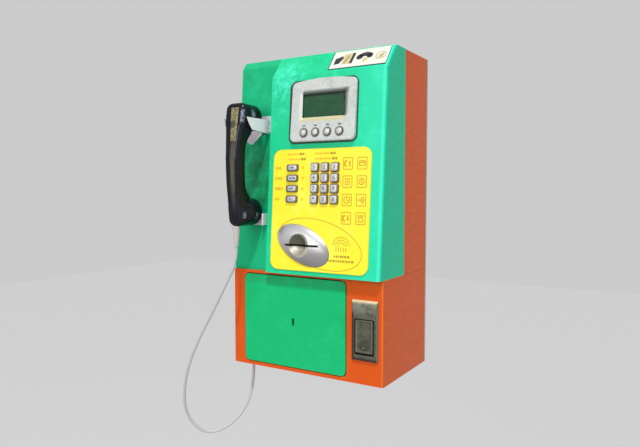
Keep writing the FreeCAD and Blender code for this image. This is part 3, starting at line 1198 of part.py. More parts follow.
def make_cord():
    points = cord_points()
    path = cord_path(points)
    direction = points[1] - points[0]
    section = Part.Wire(Part.makeCircle(CORD_RADIUS, points[0], direction))
    tube = path.makePipeShell([section], True, False)
    expected = math.pi * CORD_RADIUS ** 2 * path.Length
    print(f"cord length {path.Length:.1f} mm, volume {tube.Volume:.1f}, section x length {expected:.1f}")
    save("handset_cord", tube)
    flange = rod(GLAND_RADIUS, (GLAND_X, GLAND_Y, FLOOR_Z - GLAND_FLANGE), (GLAND_X, GLAND_Y, FLOOR_Z))
    nose = rod(GLAND_NOSE_RADIUS, (GLAND_X, GLAND_Y, FLOOR_Z - GLAND_FLANGE - GLAND_NOSE),
               (GLAND_X, GLAND_Y, FLOOR_Z + LOWER_WALL))
    nut = rod(GLAND_RADIUS, (GLAND_X, GLAND_Y, FLOOR_Z + LOWER_WALL),
              (GLAND_X, GLAND_Y, FLOOR_Z + LOWER_WALL + GLAND_FLANGE))
    save("cord_gland", Part.makeCompound([fuse([flange, nose]), nut]))


make_back_plate()
make_rear_housing()
make_lower_case()
make_front_cover()
make_handset_panel()
make_fascia()
make_keys()
make_keypad_stack()
make_display_bezel()
make_display_stack()
make_card_dome()
make_card_reader()
make_label()
make_coin_entry()
make_coin_path()
make_vault_door()
make_vault_lock()
make_coin_return()
make_cash_box()
make_electronics()
make_cradle()
make_hook()
make_handset()
make_cord()
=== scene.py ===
import json
import random
from math import copysign, cos, pi, radians, sin

import bmesh
import bpy
from mathutils import Matrix, Vector

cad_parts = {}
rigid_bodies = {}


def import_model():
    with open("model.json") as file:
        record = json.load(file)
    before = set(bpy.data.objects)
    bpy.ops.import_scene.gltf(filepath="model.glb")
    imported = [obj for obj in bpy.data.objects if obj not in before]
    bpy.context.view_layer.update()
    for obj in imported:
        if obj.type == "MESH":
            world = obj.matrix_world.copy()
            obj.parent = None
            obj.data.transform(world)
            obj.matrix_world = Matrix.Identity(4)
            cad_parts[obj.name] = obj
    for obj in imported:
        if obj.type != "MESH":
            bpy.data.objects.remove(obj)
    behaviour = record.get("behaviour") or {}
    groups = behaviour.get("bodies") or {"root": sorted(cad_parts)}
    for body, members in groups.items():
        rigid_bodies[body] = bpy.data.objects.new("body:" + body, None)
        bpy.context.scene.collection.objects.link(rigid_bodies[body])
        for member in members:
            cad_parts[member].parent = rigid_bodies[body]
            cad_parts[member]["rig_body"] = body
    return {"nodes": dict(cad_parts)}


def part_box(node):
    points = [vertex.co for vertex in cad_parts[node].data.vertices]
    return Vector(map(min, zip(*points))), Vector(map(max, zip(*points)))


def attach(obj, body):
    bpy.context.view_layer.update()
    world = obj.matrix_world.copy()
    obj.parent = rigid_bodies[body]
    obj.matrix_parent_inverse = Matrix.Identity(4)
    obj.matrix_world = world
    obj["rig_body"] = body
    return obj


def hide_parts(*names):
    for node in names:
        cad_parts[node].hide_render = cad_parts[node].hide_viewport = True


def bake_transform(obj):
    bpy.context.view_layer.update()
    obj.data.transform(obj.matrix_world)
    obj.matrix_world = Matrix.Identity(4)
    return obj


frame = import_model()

# The looks of a wall payphone: finishes, printed marks, handset shell and cord.
# The camera, the lights, the floor and the cord are in metres. All other lengths are
# in millimetres, and turn into metres where a vertex, a node or a modifier takes them.

MM = 0.001
RIGHT = Vector((1, 0, 0))
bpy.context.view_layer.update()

CAMERA_PLACE = Vector((0.5119, -0.9673, 0.0399))
CAMERA_AZIMUTH = 31.06     # degrees to the user's right
CAMERA_DIP = 3.29          # degrees below level
CAMERA_LENS = 33.87
SENSOR_WIDTH = 36

FLOOR_HEIGHT = -1.2
FLOOR_SIZE = 14
AMBIENT = 0.42             # what lights the object
BACKDROP = 0.6             # what camera, gloss and glass see
PALE = (0.62, 0.62, 0.62)

CORD_RADIUS = 2.5 * MM
CORD_ROUTE = [
    (-0.1025, -0.2085, -0.053), (-0.1025, -0.2085, -0.078),
    (-0.120, -0.218, -0.118), (-0.139, -0.225, -0.159), (-0.162, -0.231, -0.202),
    (-0.183, -0.2345, -0.247), (-0.198, -0.233, -0.295), (-0.202, -0.225, -0.343),
    (-0.184, -0.206, -0.377), (-0.158, -0.183, -0.377), (-0.133, -0.157, -0.350),
    (-0.121, -0.140, -0.305), (-0.121, -0.140, -0.262),
]

# Enamel tones: body, light, dark, a paler bend tone (wear and painted highlight), and a painted
# shade tone for the right side.
MINT = ((0.012, 0.6, 0.275), (0.07, 0.88, 0.54), (0.008, 0.42, 0.165), (0.12, 0.95, 0.72),
        (0.008, 0.48, 0.27))
# painted light: the tint that the mint front takes towards its right
MINT_LIT_RIGHT = (0.03, 0.8, 0.52)
STRIP = ((0.008, 0.46, 0.2), (0.03, 0.62, 0.34), (0.012, 0.27, 0.1), None, None)
DOOR = ((0.006, 0.48, 0.16), (0.02, 0.56, 0.24), (0.012, 0.34, 0.11), None, None)
ORANGE = ((0.7, 0.092, 0.008), (0.78, 0.16, 0.035), (0.46, 0.065, 0.012), (0.92, 0.24, 0.06),
          (0.66, 0.105, 0.016))

PRINT_THICK = 0.05
LABEL_THICK = 0.08
FINE_LINE = 1.3            # the oval and the sign beside the card slot
ICON_LINE = 1.7
KEY_CROWN = 0.9
GLYPH_SIZE = 9
VOXEL = 0.85


def box(node):
    """Lowest and highest corners of a node at rest and its middle, in millimetres."""
    low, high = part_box(node)
    return low / MM, high / MM, (low + high) / 2 / MM


# ---------- materials
class Finish:
    """A procedural material, built up in layers over one Principled shader."""

    def __init__(self, name, color, roughness, **values):
        self.material = bpy.data.materials.new(name)
        self.material.use_nodes = True
        self.tree = self.material.node_tree
        self.shader = self.tree.nodes["Principled BSDF"]
        for key, value in {"Roughness": roughness, **values}.items():
            self.shader.inputs[key.replace("_", " ")].default_value = value
        self.place = self.add("TexCoord").outputs["Object"]
        self.color = self.add("RGB").outputs[0]
        self.color.default_value = (*color, 1)

    def add(self, kind, inputs=None, **settings):
        """A shader node whose inputs are given values, or are joined to other nodes' sockets."""
        node = self.tree.nodes.new("ShaderNode" + kind)
        for key, value in settings.items():
            setattr(node, key, value)
        for key, value in (inputs or {}).items():
            if isinstance(value, bpy.types.NodeSocket):
                self.tree.links.new(value, node.inputs[key])
            else:
                node.inputs[key].default_value = value
        return node

    def feed(self, socket, name):
        self.tree.links.new(socket, self.shader.inputs[name])

    def math(self, operation, a, b=0):
        return self.add("Math", {0: a, 1: b}, operation=operation).outputs[0]

    def both(self, first, *others):
        """Where all the masks are."""
        for mask in others:
            first = self.math("MULTIPLY", first, mask)
        return first

    def less(self, mask):
        return self.math("SUBTRACT", 1, mask)

    def noise(self, size, detail=6, rough=0.6, shift=0, stretch=(1, 1, 1)):
        """Cloudy noise from 0 to 1, with blotches of about the given size."""
        mapping = self.add("Mapping", {
            "Location": (shift, shift / 2, -shift), "Vector": self.place,
            "Scale": [1 / (size * MM * part) for part in stretch]})
        return self.add("TexNoise", {
            "Scale": 1, "Detail": detail, "Roughness": rough,
            "Vector": mapping.outputs[0]}).outputs["Fac"]

    def ramp(self, value, low, high):
        """0 below low, 1 above high, smooth between."""
        return self.add("MapRange", {"Value": value, "From Min": low, "From Max": high},
                        interpolation_type="SMOOTHSTEP").outputs["Result"]

    def part(self, source, name):
        """The X, Y or Z of a vector."""
        return self.add("SeparateXYZ", {0: source}).outputs[name]

    def along(self, name, low, high):
        """0 before low on an axis, 1 beyond high."""
        return self.ramp(self.part(self.place, name), low * MM, high * MM)

    def edges(self, radius):
        """1 on convex and concave edges, 0 on flat faces."""
        bevel = self.add("Bevel", {"Radius": radius * MM}, samples=6)
        normal = self.add("NewGeometry").outputs["Normal"]
        dot = self.add("VectorMath", {0: bevel.outputs[0], 1: normal},
                       operation="DOT_PRODUCT")
        return self.ramp(self.less(dot.outputs["Value"]), 0.01, 0.16)

    def facing(self, axis, sign, start, end):
        """1 where a face looks along the signed axis, 0 where it looks elsewhere."""
        normal = self.add("NewGeometry").outputs["Normal"]
        return self.ramp(self.math("MULTIPLY", self.part(normal, axis), sign), start, end)

    def bend(self, start, peak):
        """Strongest part way round the bend from the front to the right side, 0 on both."""
        rise, past = self.facing("X", 1, start, peak), self.facing("X", 1, peak, 0.97)
        return self.both(rise, self.less(past), self.facing("Y", -1, 0.15, 0.4))

    def within(self, name, low, high, soft):
        """1 between two places along an axis, fading over the soft distance outside."""
        return self.both(self.along(name, low - soft, low),
                         self.less(self.along(name, high, high + soft)))

    def spot(self, place, inner, outer):
        """1 within a distance of a place on the front, 0 beyond the outer one."""
        squares = [self.math("POWER", self.math("SUBTRACT", self.part(self.place, name),
                                                middle * MM), 2)
                   for name, middle in zip("XZ", place)]
        distance = self.math("SQRT", self.math("ADD", *squares))
        return self.less(self.ramp(distance, inner * MM, outer * MM))

    def layer(self, color, mask, share):
        """Lay a colour over what is there, as strong as the mask times the share."""
        self.color = self.add("Mix", {
            "Factor": self.math("MULTIPLY", mask, share), "A": self.color, "B": (*color, 1)},
            data_type="RGBA").outputs["Result"]

    def mottle(self, color, low, high, share, *noise):
        """Lay a colour where cloudy noise rises from low to high."""
        self.layer(color, self.ramp(self.noise(*noise), low, high), share)

    def stain(self, color, share, mask, low, high, *noise):
        """Lay a colour over a place, broken up by cloudy noise."""
        self.layer(color, self.both(mask, self.ramp(self.noise(*noise), low, high)), share)

    def roughen(self, mask, low, high):
        spread = self.add("MapRange", {"Value": mask, "To Min": low, "To Max": high})
        self.feed(spread.outputs["Result"], "Roughness")

    def bump(self, depth, strength, *noise):
        """Relief of about the given depth."""
        relief = self.add("Bump", {"Strength": strength, "Distance": depth * MM,
                                   "Height": self.noise(*noise)})
        self.feed(relief.outputs["Normal"], "Normal")

    def done(self):
        self.feed(self.color, "Base Color")
        return self.material


def shade(color, share):
    return tuple(part * share for part in color)


def painted_steel(name, tones, mottle, wear, lit_right=None, handset_shade=None, pale_patch=None, overhang_shade=None):
    """Thick enamel: cloudy tone, fine flecks, scratches, bends paler by wear and painted
    highlight, and painted shade on the right side.
    """
    color, light, dark, wear_and_highlight, side = tones
    paint = Finish(name, color, 0.3, Specular_IOR_Level=0.14)
    clouds = paint.noise(45, 9, 0.72)
    paint.layer(light, paint.ramp(clouds, 0.47, 0.72), mottle)
    paint.mottle(dark, 0.52, 0.78, mottle, 70, 8, 0.7, 3.1)
    paint.mottle(light, 0.57, 0.74, mottle * 0.5, 4.5, 4, 0.7, 7.7)
    paint.mottle(dark, 0.62, 0.78, mottle * 0.5, 3, 3, 0.6, 1.9)
    paint.mottle(light, 0.6, 0.8, mottle * 0.45, 12, 6, 0.75, 5.3, (0.25, 0.25, 2.6))
    # painted shade: a darker cloudy stretch on the strip below the handset's cradle
    if handset_shade:
        paint.stain(handset_shade, 0.85, paint.within("Z", 25, 98, 30), 0.34, 0.62, 22, 9, 0.75, 8.2)
    # a paler mottled patch near the upper left of the cover: paint wear with a painted highlight
    if pale_patch:
        paint.stain(wear_and_highlight, 0.7, paint.spot(pale_patch, 8, 62), 0.4, 0.66, 13, 9, 0.75, 4.4)
    # painted shade: a darker stretch along the top of the door, under the cover's overhang
    if overhang_shade:
        top = box("vault_door")[1].z
        paint.stain(overhang_shade, 0.4, paint.within("Z", top - 13, top, 9), 0.25, 0.6, 20, 8, 0.75, 6.1)
    # painted light: the front grows lighter towards the right
    if lit_right:
        paint.layer(lit_right, paint.along("X", 30, 140), 0.5)
    # painted shade: faces looking right take the darker side tone, with darker flecks on it
    if side:
        right = paint.facing("X", 1, 0.55, 0.98)
        paint.layer(side, right, 0.78)
        paint.stain(dark, 0.38, right, 0.42, 0.66, 20, 9, 0.75, 9.3, (1, 1, 0.3))
    # paler round the bend to the right side: paint wear with a painted highlight
    if wear_and_highlight:
        paint.layer(wear_and_highlight, paint.bend(0.05, 0.42), 0.45)
    paint.layer(light, paint.edges(1.2), wear)
    paint.roughen(clouds, 0.26, 0.42)
    paint.bump(0.16, 0.28, 2.2, 3, 0.5)
    return paint.done()


def zinc_steel():
    """Zinc-plated sheet with a grain across it."""
    color, roughness = (0.52, 0.53, 0.54), 0.38
    steel = Finish("zinc_steel", color, roughness, Metallic=1)
    grain = (0.8, 4, 0.7, 0, (6, 1, 1))
    lines = steel.noise(*grain)
    steel.layer(shade(color, 0.55), steel.ramp(lines, 0.45, 0.75), 0.5)
    steel.mottle(shade(color, 0.7), 0.5, 0.75, 0.5, 20)
    steel.roughen(lines, roughness - 0.1, roughness + 0.14)
    steel.bump(0.03, 0.3, *grain)
    return steel.done()


def moulded(name, color, roughness, fleck):
    """Moulded plastic with a fine grain and slight soiling."""
    plastic = Finish(name, color, roughness)
    plastic.mottle(shade(color, 0.55), 0.52, 0.78, fleck, 16, 7, 0.7)
    plastic.mottle(shade(color, 0.4), 0.58, 0.75, fleck, 1.3, 3, 0.6, 2)
    plastic.roughen(plastic.noise(10), roughness - 0.08, roughness + 0.1)
    plastic.bump(0.04, 0.25, 0.9, 2)
    return plastic.done()


def fascia_print():
    """Yellow screen print: warm tint towards the edges of the keys and the card slot."""
    sheet = Finish("fascia_yellow", (1, 0.84, 0.024), 0.34, Specular_IOR_Level=0.4)
    sheet.layer((0.95, 0.52, 0.01), sheet.edges(3.2), 0.6)
    low = box("key_star")[0]
    middle = ((low.x + box("key_hash")[1].x) / 2, (low.z + box("key_2")[1].z) / 2)
    sheet.stain((0.88, 0.33, 0.012), 0.75, sheet.spot(middle, 18, 34), 0.36, 0.6, 6, 5)
    sheet.mottle((1, 0.93, 0.12), 0.48, 0.7, 0.5, 50, 5)
    sheet.mottle((0.93, 0.66, 0.01), 0.56, 0.8, 0.45, 30, 7, 0.7, 4)
    sheet.mottle((0.86, 0.6, 0.02), 0.6, 0.8, 0.3, 2.5, 4, 0.7, 6)
    sheet.bump(0.03, 0.2, 1.2, 2)
    return sheet.done()


def key_metal(name, color, rim):
    """Satin key top: pale crown, painted shade towards its rim, with finger marks."""
    cap = Finish(name, color, 0.3, Metallic=0.3, Specular_IOR_Level=0.5)
    cap.mottle(shade(color, 0.5), 0.45, 0.7, 0.6, 5, 5, 0.7)
    # painted shade along the rim of the key top
    cap.layer((0.16, 0.15, 0.14), cap.edges(rim), 0.85)
    cap.roughen(cap.noise(4, 5), 0.22, 0.42)
    return cap.done()


def dome_steel():
    """Cast card escutcheon: satin silver, painted shade towards the bottom, the right and the
    edges, a soiled finger dish with painted shade over its upper half, and painted shade along the
    slot.
    """
    low, high, middle = box("card_dome")
    dish = (middle.x - 2.8, middle.z)
    steel = Finish("card_slot_steel", (0.62, 0.61, 0.63), 0.36, Metallic=0.7)
    steel.mottle((0.48, 0.46, 0.48), 0.46, 0.74, 0.5, 18, 8, 0.7)
    # painted shade: darker towards the bottom
    steel.layer((0.24, 0.225, 0.22), steel.less(steel.along("Z", low.z, low.z + 48)), 0.9)
    # painted shade: darker towards the right
    steel.layer((0.36, 0.35, 0.35), steel.along("X", middle.x + 5, high.x - 8), 0.6)
    # painted shade along the edges
    steel.layer((0.16, 0.14, 0.13), steel.edges(2), 0.7)
    steel.layer((0.6, 0.57, 0.44), steel.spot(dish, 18, 19.4), 0.85)
    # painted shade over the upper half of the finger dish
    dish_shade = steel.both(steel.spot(dish, 17.2, 19.4), steel.along("Z", middle.z - 7, middle.z + 1))
    steel.layer((0.085, 0.09, 0.06), dish_shade, 0.92)
    # painted shade in and along the card slot
    slot_shade = steel.both(steel.within("Z", middle.z - 1.1, middle.z + 1.1, 0.7),
                      steel.within("X", middle.x - 26, middle.x + 31, 2))
    steel.layer((0.008, 0.008, 0.006), slot_shade, 0.98)
    steel.roughen(steel.noise(6, 6, 0.7), 0.26, 0.44)
    steel.bump(0.04, 0.3, 1.1, 3)
    return steel.done()


def bezel_plastic():
    """Silver-grey moulding: dense flecks, painted highlight on its edges, painted light and shade
    round the window, a yellowed sill with painted light, painted shade in the key rings.
    """
    shell = Finish("bezel_silver", (0.57, 0.59, 0.57), 0.38)
    shell.mottle((0.32, 0.34, 0.32), 0.5, 0.7, 0.8, 2.6, 4, 0.75)
    shell.mottle((0.72, 0.74, 0.71), 0.5, 0.72, 0.6, 3.5, 4, 0.7, 3)
    shell.mottle((0.34, 0.35, 0.31), 0.48, 0.72, 0.6, 20, 8, 0.75, 5)
    # painted highlight along the edges
    shell.layer((0.76, 0.78, 0.75), shell.edges(1.2), 0.4)
    low, high, _ = box("display_window")
    inset = Vector((4, 0, 4))
    low, high = low + inset, high - inset
    # painted light and shade round the window: a yellowed, lit sill below, lit on the left, shaded
    # above and on the right
    slope_light_shade = (((0.6, 0.54, 0.27), (low.x - 2, high.x + 1), (low.z - 6, low.z)),
              ((0.74, 0.75, 0.66), (low.x - 4, low.x), (low.z - 2, high.z + 1)),
              ((0.24, 0.26, 0.24), (low.x + 2, high.x + 7), (high.z, high.z + 5)),
              ((0.2, 0.22, 0.2), (high.x, high.x + 6), (low.z + 2, high.z + 5)),
              ((0.07, 0.085, 0.07), (low.x + 1, high.x + 4), (high.z - 1, high.z + 3)),
              ((0.07, 0.085, 0.07), (high.x - 1, high.x + 3.5), (low.z, high.z + 2)))
    for tint, across, up in slope_light_shade:
        painted_lighting_band = shell.both(shell.within("X", *across, 2.5), shell.within("Z", *up, 2.5))
        shell.layer(tint, painted_lighting_band, 0.8)
    # painted shade in the ring round each round key
    for i in (1, 2, 3, 4):
        middle = box(f"round_key_{i}")[2]
        shell.layer((0.1, 0.095, 0.08), shell.spot((middle.x, middle.z), 6.6, 8.8), 0.85)
    shell.roughen(shell.noise(8), 0.3, 0.48)
    shell.bump(0.06, 0.3, 1.2, 3)
    return shell.done()


def return_bronze():
    """Tarnished coin return casting: olive bronze, lighter above the flap, painted highlights on
    edges and top, painted light and shade by facing, painted shadow at left and bottom, dark
    hollows.
    """
    low, high, middle = box("return_flap")
    cast = Finish("return_bronze", (0.115, 0.115, 0.082), 0.42, Metallic=0.45)
    # lighter above the flap
    cast.layer((0.18, 0.19, 0.145), cast.along("Z", high.z - 6, high.z + 8), 0.8)
    cast.mottle((0.05, 0.043, 0.026), 0.45, 0.62, 0.75, 10, 8, 0.8)
    cast.mottle((0.24, 0.23, 0.18), 0.52, 0.7, 0.6, 4, 5, 0.8, 4)
    cast.layer((0.03, 0.026, 0.014), cast.spot((middle.x, low.z + 14), 5, 13), 0.7)
    # painted highlight along the edges
    cast.layer((0.26, 0.24, 0.17), cast.edges(1), 0.4)
    low, high, _ = box("return_plate")
    for axis, start in (("X", low.x), ("Z", low.z)):
        shadow = cast.both(cast.within(axis, start - 9, start + 2, 5),
                           cast.within("Z", low.z - 9, high.z - 22, 9))
        cast.layer((0.018, 0.022, 0.013), shadow, 0.92)
    # painted light and shade: faces looking left and down darker, faces looking right and up
    # lighter
    for axis, sign, tint in (("X", -1, (0.03, 0.034, 0.022)), ("Z", -1, (0.03, 0.045, 0.028)),
                             ("X", 1, (0.2, 0.215, 0.16)), ("Z", 1, (0.15, 0.145, 0.1))):
        cast.layer(tint, cast.facing(axis, sign, 0.3, 0.5), 0.85)
    lit = cast.both(cast.facing("Z", 1, 0.2, 0.4), cast.along("Z", high.z - 8, high.z - 7))
    cast.layer((0.72, 0.57, 0.33), lit, 0.9)
    cast.roughen(cast.noise(6), 0.32, 0.55)
    cast.bump(0.12, 0.4, 1.8, 5, 0.7)
    return cast.done()


def cradle_sheet():
    """Pale blue-white coated sheet, with painted shade towards its back where it meets the strip.
    """
    back = box("handset_cradle")[1].y
    sheet = Finish("cradle_sheet", (1, 0.92, 1), 0.32, Specular_IOR_Level=0.3)
    # painted shade: greyer towards the back of the sheet, at the strip
    rear_shade = sheet.along("Y", back - 24, back - 8)
    sheet.stain((0.36, 0.4, 0.44), 0.85, rear_shade, 0.3, 0.7, 6, 6, 0.7)
    sheet.mottle((0.8, 0.76, 0.92), 0.5, 0.8, 0.4, 12, 6, 0.7)
    sheet.layer((0.3, 0.31, 0.33), sheet.edges(0.6), 0.35)
    sheet.roughen(sheet.noise(6, 5), 0.26, 0.42)
    return sheet.done()


def handset_black():
    """Glossy black moulding: dull flanks, a painted olive reflection down its back, rougher there,
    and painted highlights on the heads.
    """
    low, high, middle = box("handset_shell")
    shell = Finish("handset_black", (0.004, 0.005, 0.010), 0.2, Specular_IOR_Level=0.27)
    # painted reflection: a soft olive stripe down the back of the handle, which is also rougher
    painted_lighting_band = shell.both(shell.within("X", middle.x + 2.5, middle.x + 4.5, 6),
                      shell.facing("Y", -1, 0.9, 0.99),
                      shell.within("Z", low.z + 75, low.z + 115, 65))
    shell.stain((0.115, 0.1, 0.062), 0.9, painted_lighting_band, 0.2, 0.6, 12, 6, 0.7, 0, (0.4, 0.4, 4))
    shell.mottle((0.014, 0.022, 0.048), 0.5, 0.75, 0.5, 20, 5)
    top, foot, face, right = high.z, low.z, low.y, high.x
    # painted highlights: pale blue streaks and spots on the corners of both heads
    painted_highlights = ((low.x + 3, low.x + 6, face, face + 24, top - 46, top - 16),
              (right - 8, right - 5, face, face + 14, top - 30, top - 15),
              (right - 4, right, face + 30, face + 35, top - 20, top - 15),
              (right - 9, right, face + 15, face + 17, foot + 16, foot + 20),
              (right - 6, right, face + 39, face + 41, foot + 16, foot + 18))
    highlight_breakup = shell.ramp(shell.noise(7, 6, 0.8, 2, (1, 1, 0.5)), 0.36, 0.62)
    for x0, x1, y0, y1, z0, z1 in painted_highlights:
        spot = shell.both(shell.within("X", x0, x1, 2), highlight_breakup, shell.within("Y", y0, y1, 3),
                          shell.within("Z", z0, z1, 5))
        shell.layer((0.36, 0.42, 0.54), spot, 0.8)
    flank = shell.math("MULTIPLY", shell.facing("X", 1, 0.8, 0.93), 0.8)
    dull = shell.math("MAXIMUM", flank, shell.ramp(shell.noise(18, 8, 0.7), 0.5, 0.85))
    shell.roughen(shell.math("MAXIMUM", painted_lighting_band, dull), 0.11, 0.46)
    shell.bump(0.06, 0.12, 4, 4)
    return shell.done()


def khaki_plate():
    """Bare khaki label with a dark rubbed patch across its middle."""
    _, high, middle = box("handset_shell")
    plate = Finish("khaki_label", (0.3, 0.26, 0.12), 0.42)
    plate.mottle((0.075, 0.065, 0.03), 0.44, 0.58, 0.8, 4.5, 4, 0.8)
    plate.layer((0.03, 0.028, 0.02), plate.spot((middle.x, high.z - 36), 4, 8), 0.85)
    plate.layer((0.42, 0.37, 0.19), plate.edges(0.5), 0.3)
    plate.roughen(plate.noise(3, 5), 0.34, 0.5)
    plate.bump(0.05, 0.4, 1.5, 4)
    return plate.done()


def lcd_green():
    """Unlit reflective display: fine cell grid, and shade along its top and sides."""
    glass = Finish("lcd_green", (0.030, 0.108, 0.052), 0.4, Specular_IOR_Level=0.1)
    glass.mottle((0.052, 0.150, 0.080), 0.42, 0.7, 0.7, 16, 5)
    upright = glass.add("Mapping", {"Rotation": (pi / 2, 0, 0), "Vector": glass.place})
    cells = glass.add("TexBrick", {
        "Scale": 1, "Brick Width": 3.6 * MM, "Row Height": 6 * MM, "Mortar Size": 0.25 * MM,
        "Vector": upright.outputs[0]}, offset=0)
    glass.layer((0.02, 0.06, 0.035), cells.outputs["Fac"], 0.35)
    low, high, _ = box("display_window")
    for axis, start, end in (("Z", high.z - 10, high.z - 6), ("X", high.x - 8, high.x - 5.5),
                             ("X", low.x + 5.5, low.x + 4.5)):
        glass.layer((0.022, 0.028, 0.022), glass.along(axis, start, end), 0.85)
    return glass.done()


def clear_pane():
    pane = Finish("display_pane", (0.92, 0.97, 0.94), 0.06, Transmission_Weight=1, IOR=1.14)
    pane.roughen(pane.ramp(pane.noise(10), 0.45, 0.8), 0.03, 0.16)
    return pane.done()


PLASTICS = dict(   # material, colour, roughness, strength of its flecks
    key_skirt=("key_skirt", (0.15, 0.135, 0.105), 0.42, 0.3),
    # dark gasket colour, also used for the painted shadows round the bezel and the label
    gasket_and_shadow=("dark_gasket_and_shadow", (0.012, 0.045, 0.028), 0.55, 0.3),
    dark=("dark_plastic", (0.022, 0.023, 0.025), 0.5, 0.3),
    board=("board_green", (0.012, 0.1, 0.035), 0.4, 0.3),
    rubber=("grey_rubber", (0.09, 0.09, 0.095), 0.7, 0.3),
    cord=("cord_grey", (0.52, 0.5, 0.53), 0.42, 0.3),
    sleeve=("sleeve_grey", (0.55, 0.49, 0.5), 0.46, 0.3),
    label=("label_white", (0.8, 0.79, 0.72), 0.4, 0.25),
    cream=("label_cream", (0.62, 0.53, 0.27), 0.4, 0.45),
    line=("print_mustard", (0.64, 0.38, 0.012), 0.5, 0.35),
    ink=("print_orange", (0.82, 0.5, 0.008), 0.5, 0.4),
    ink_dark=("print_brown", (0.46, 0.32, 0.008), 0.5, 0.4),
    glyph=("print_grey", (0.13, 0.135, 0.15), 0.5, 0.3),
    mark=("print_pale_grey", (0.14, 0.14, 0.14), 0.5, 0.3),
)
COVER = box("front_cover")
FINISH = {key: moulded(*values) for key, values in PLASTICS.items()}
FINISH.update(
    # mint: painted light to the right and a pale patch of wear with a painted highlight; strip:
    # painted shade below the handset; door: painted shade under the overhang
    mint=painted_steel("mint_enamel", MINT, 0.6, 0.4, lit_right=MINT_LIT_RIGHT,
                       pale_patch=(COVER[0].x + 24, COVER[1].z - 52)),
    strip=painted_steel("strip_enamel", STRIP, 0.5, 0.4, handset_shade=(0.016, 0.19, 0.06)),
    door=painted_steel("door_enamel", DOOR, 0.55, 0.35, overhang_shade=(0.03, 0.2, 0.08)),
    orange=painted_steel("orange_enamel", ORANGE, 0.22, 0.4),
    yellow=fascia_print(),
    bezel=bezel_plastic(),
    key=key_metal("key_silver", (0.58, 0.57, 0.6), 1.6),
    button=key_metal("button_silver", (0.62, 0.61, 0.6), 2.6),
    lcd=lcd_green(),
    pane=clear_pane(),
    dome=dome_steel(),
    cradle=cradle_sheet(),
    bronze=return_bronze(),
    steel=zinc_steel(),
    black=handset_black(),
    khaki=khaki_plate(),
)

KEYS = [name for name in frame["nodes"] if name.startswith(("key_", "menu_key_", "round_key_"))]
NODES = dict(
    mint="front_cover",
    strip="handset_panel",
    orange="rear_housing lower_case",
    door="vault_door",
    yellow="fascia",
    bezel="display_bezel",
    lcd="lcd_module",
    pane="display_window",
    dome="card_dome",
    cradle="handset_cradle mouthpiece_rest hook_lever",
    bronze="return_plate return_flap",
    steel="back_plate lock_body lock_bolt cash_box cash_box_lid board_screws coin_entry "
          "coin_chute return_cup",
    dark="card_reader coin_validator ringer hook_switch cord_gland handset_capsules lock_plug",
    board="keypad_board display_board main_board",
    rubber="keypad_mat",
    label="instruction_label",
    black="handset_caps handset_shell",
    cord="handset_cord",
    sleeve="cord_sleeve",
    key_skirt=" ".join(KEYS),
)
NODE_FINISH = {name: finish for finish, names in NODES.items() for name in names.split()}


def paint(obj, finish):
    obj.data.materials.clear()
    obj.data.materials.append(FINISH[finish])


def paint_nodes():
    for name, finish in NODE_FINISH.items():
        node = frame["nodes"][name]
        if not node.data.materials:
            node.data.materials.append(None)
        for slot in node.material_slots:
            slot.material = FINISH[finish]


# ---------- making pieces
def put(name, data):
    """An object in the scene with this data, or with the mesh of a bmesh that it frees."""
    if isinstance(data, bmesh.types.BMesh):
        build, data = data, bpy.data.meshes.new(name)
        build.to_mesh(data)
        build.free()
    piece = bpy.data.objects.new(name, data)
    bpy.context.scene.collection.objects.link(piece)
    return piece


def settle(piece, finish, body, replaced=None):
    """Give a piece its finish, the body that it rides on and the node that it stands for."""
    paint(piece, finish)
    if replaced:
        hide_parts(replaced)
    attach(piece, body)
    return piece


def smooth(piece, angle):
    """Shade a piece smooth, but for edges sharper than the angle in degrees."""
    piece.data.shade_smooth()
    piece.data.set_sharp_from_angle(angle=radians(angle))


def apply_modifiers(piece):
    graph = bpy.context.evaluated_depsgraph_get()
    result = bpy.data.meshes.new_from_object(piece.evaluated_get(graph))
    piece.modifiers.clear()
    old, piece.data = piece.data, result
    bpy.data.meshes.remove(old)


def mesh_from(curve):
    """The mesh of a curve or a text, which is then removed."""
    source = bpy.data.objects.new(curve.name, curve)
    mesh = bpy.data.meshes.new_from_object(source)
    bpy.data.objects.remove(source)
    bpy.data.curves.remove(curve)
    return mesh


def vertex(build, x, y, z):
    return build.verts.new((x * MM, y * MM, z * MM))


def skin(build, loops):
    """Walls from each loop of vertices to the next."""
    for lower, upper in zip(loops, loops[1:]):
        for i in range(len(lower)):
            j = (i + 1) % len(lower)
            build.faces.new((lower[i], lower[j], upper[j], upper[i]))


def tube(build, rings):
    """Walls between the rings, and a cap at each end."""
    skin(build, rings)
    build.faces.new(reversed(rings[0]))
    build.faces.new(rings[-1])


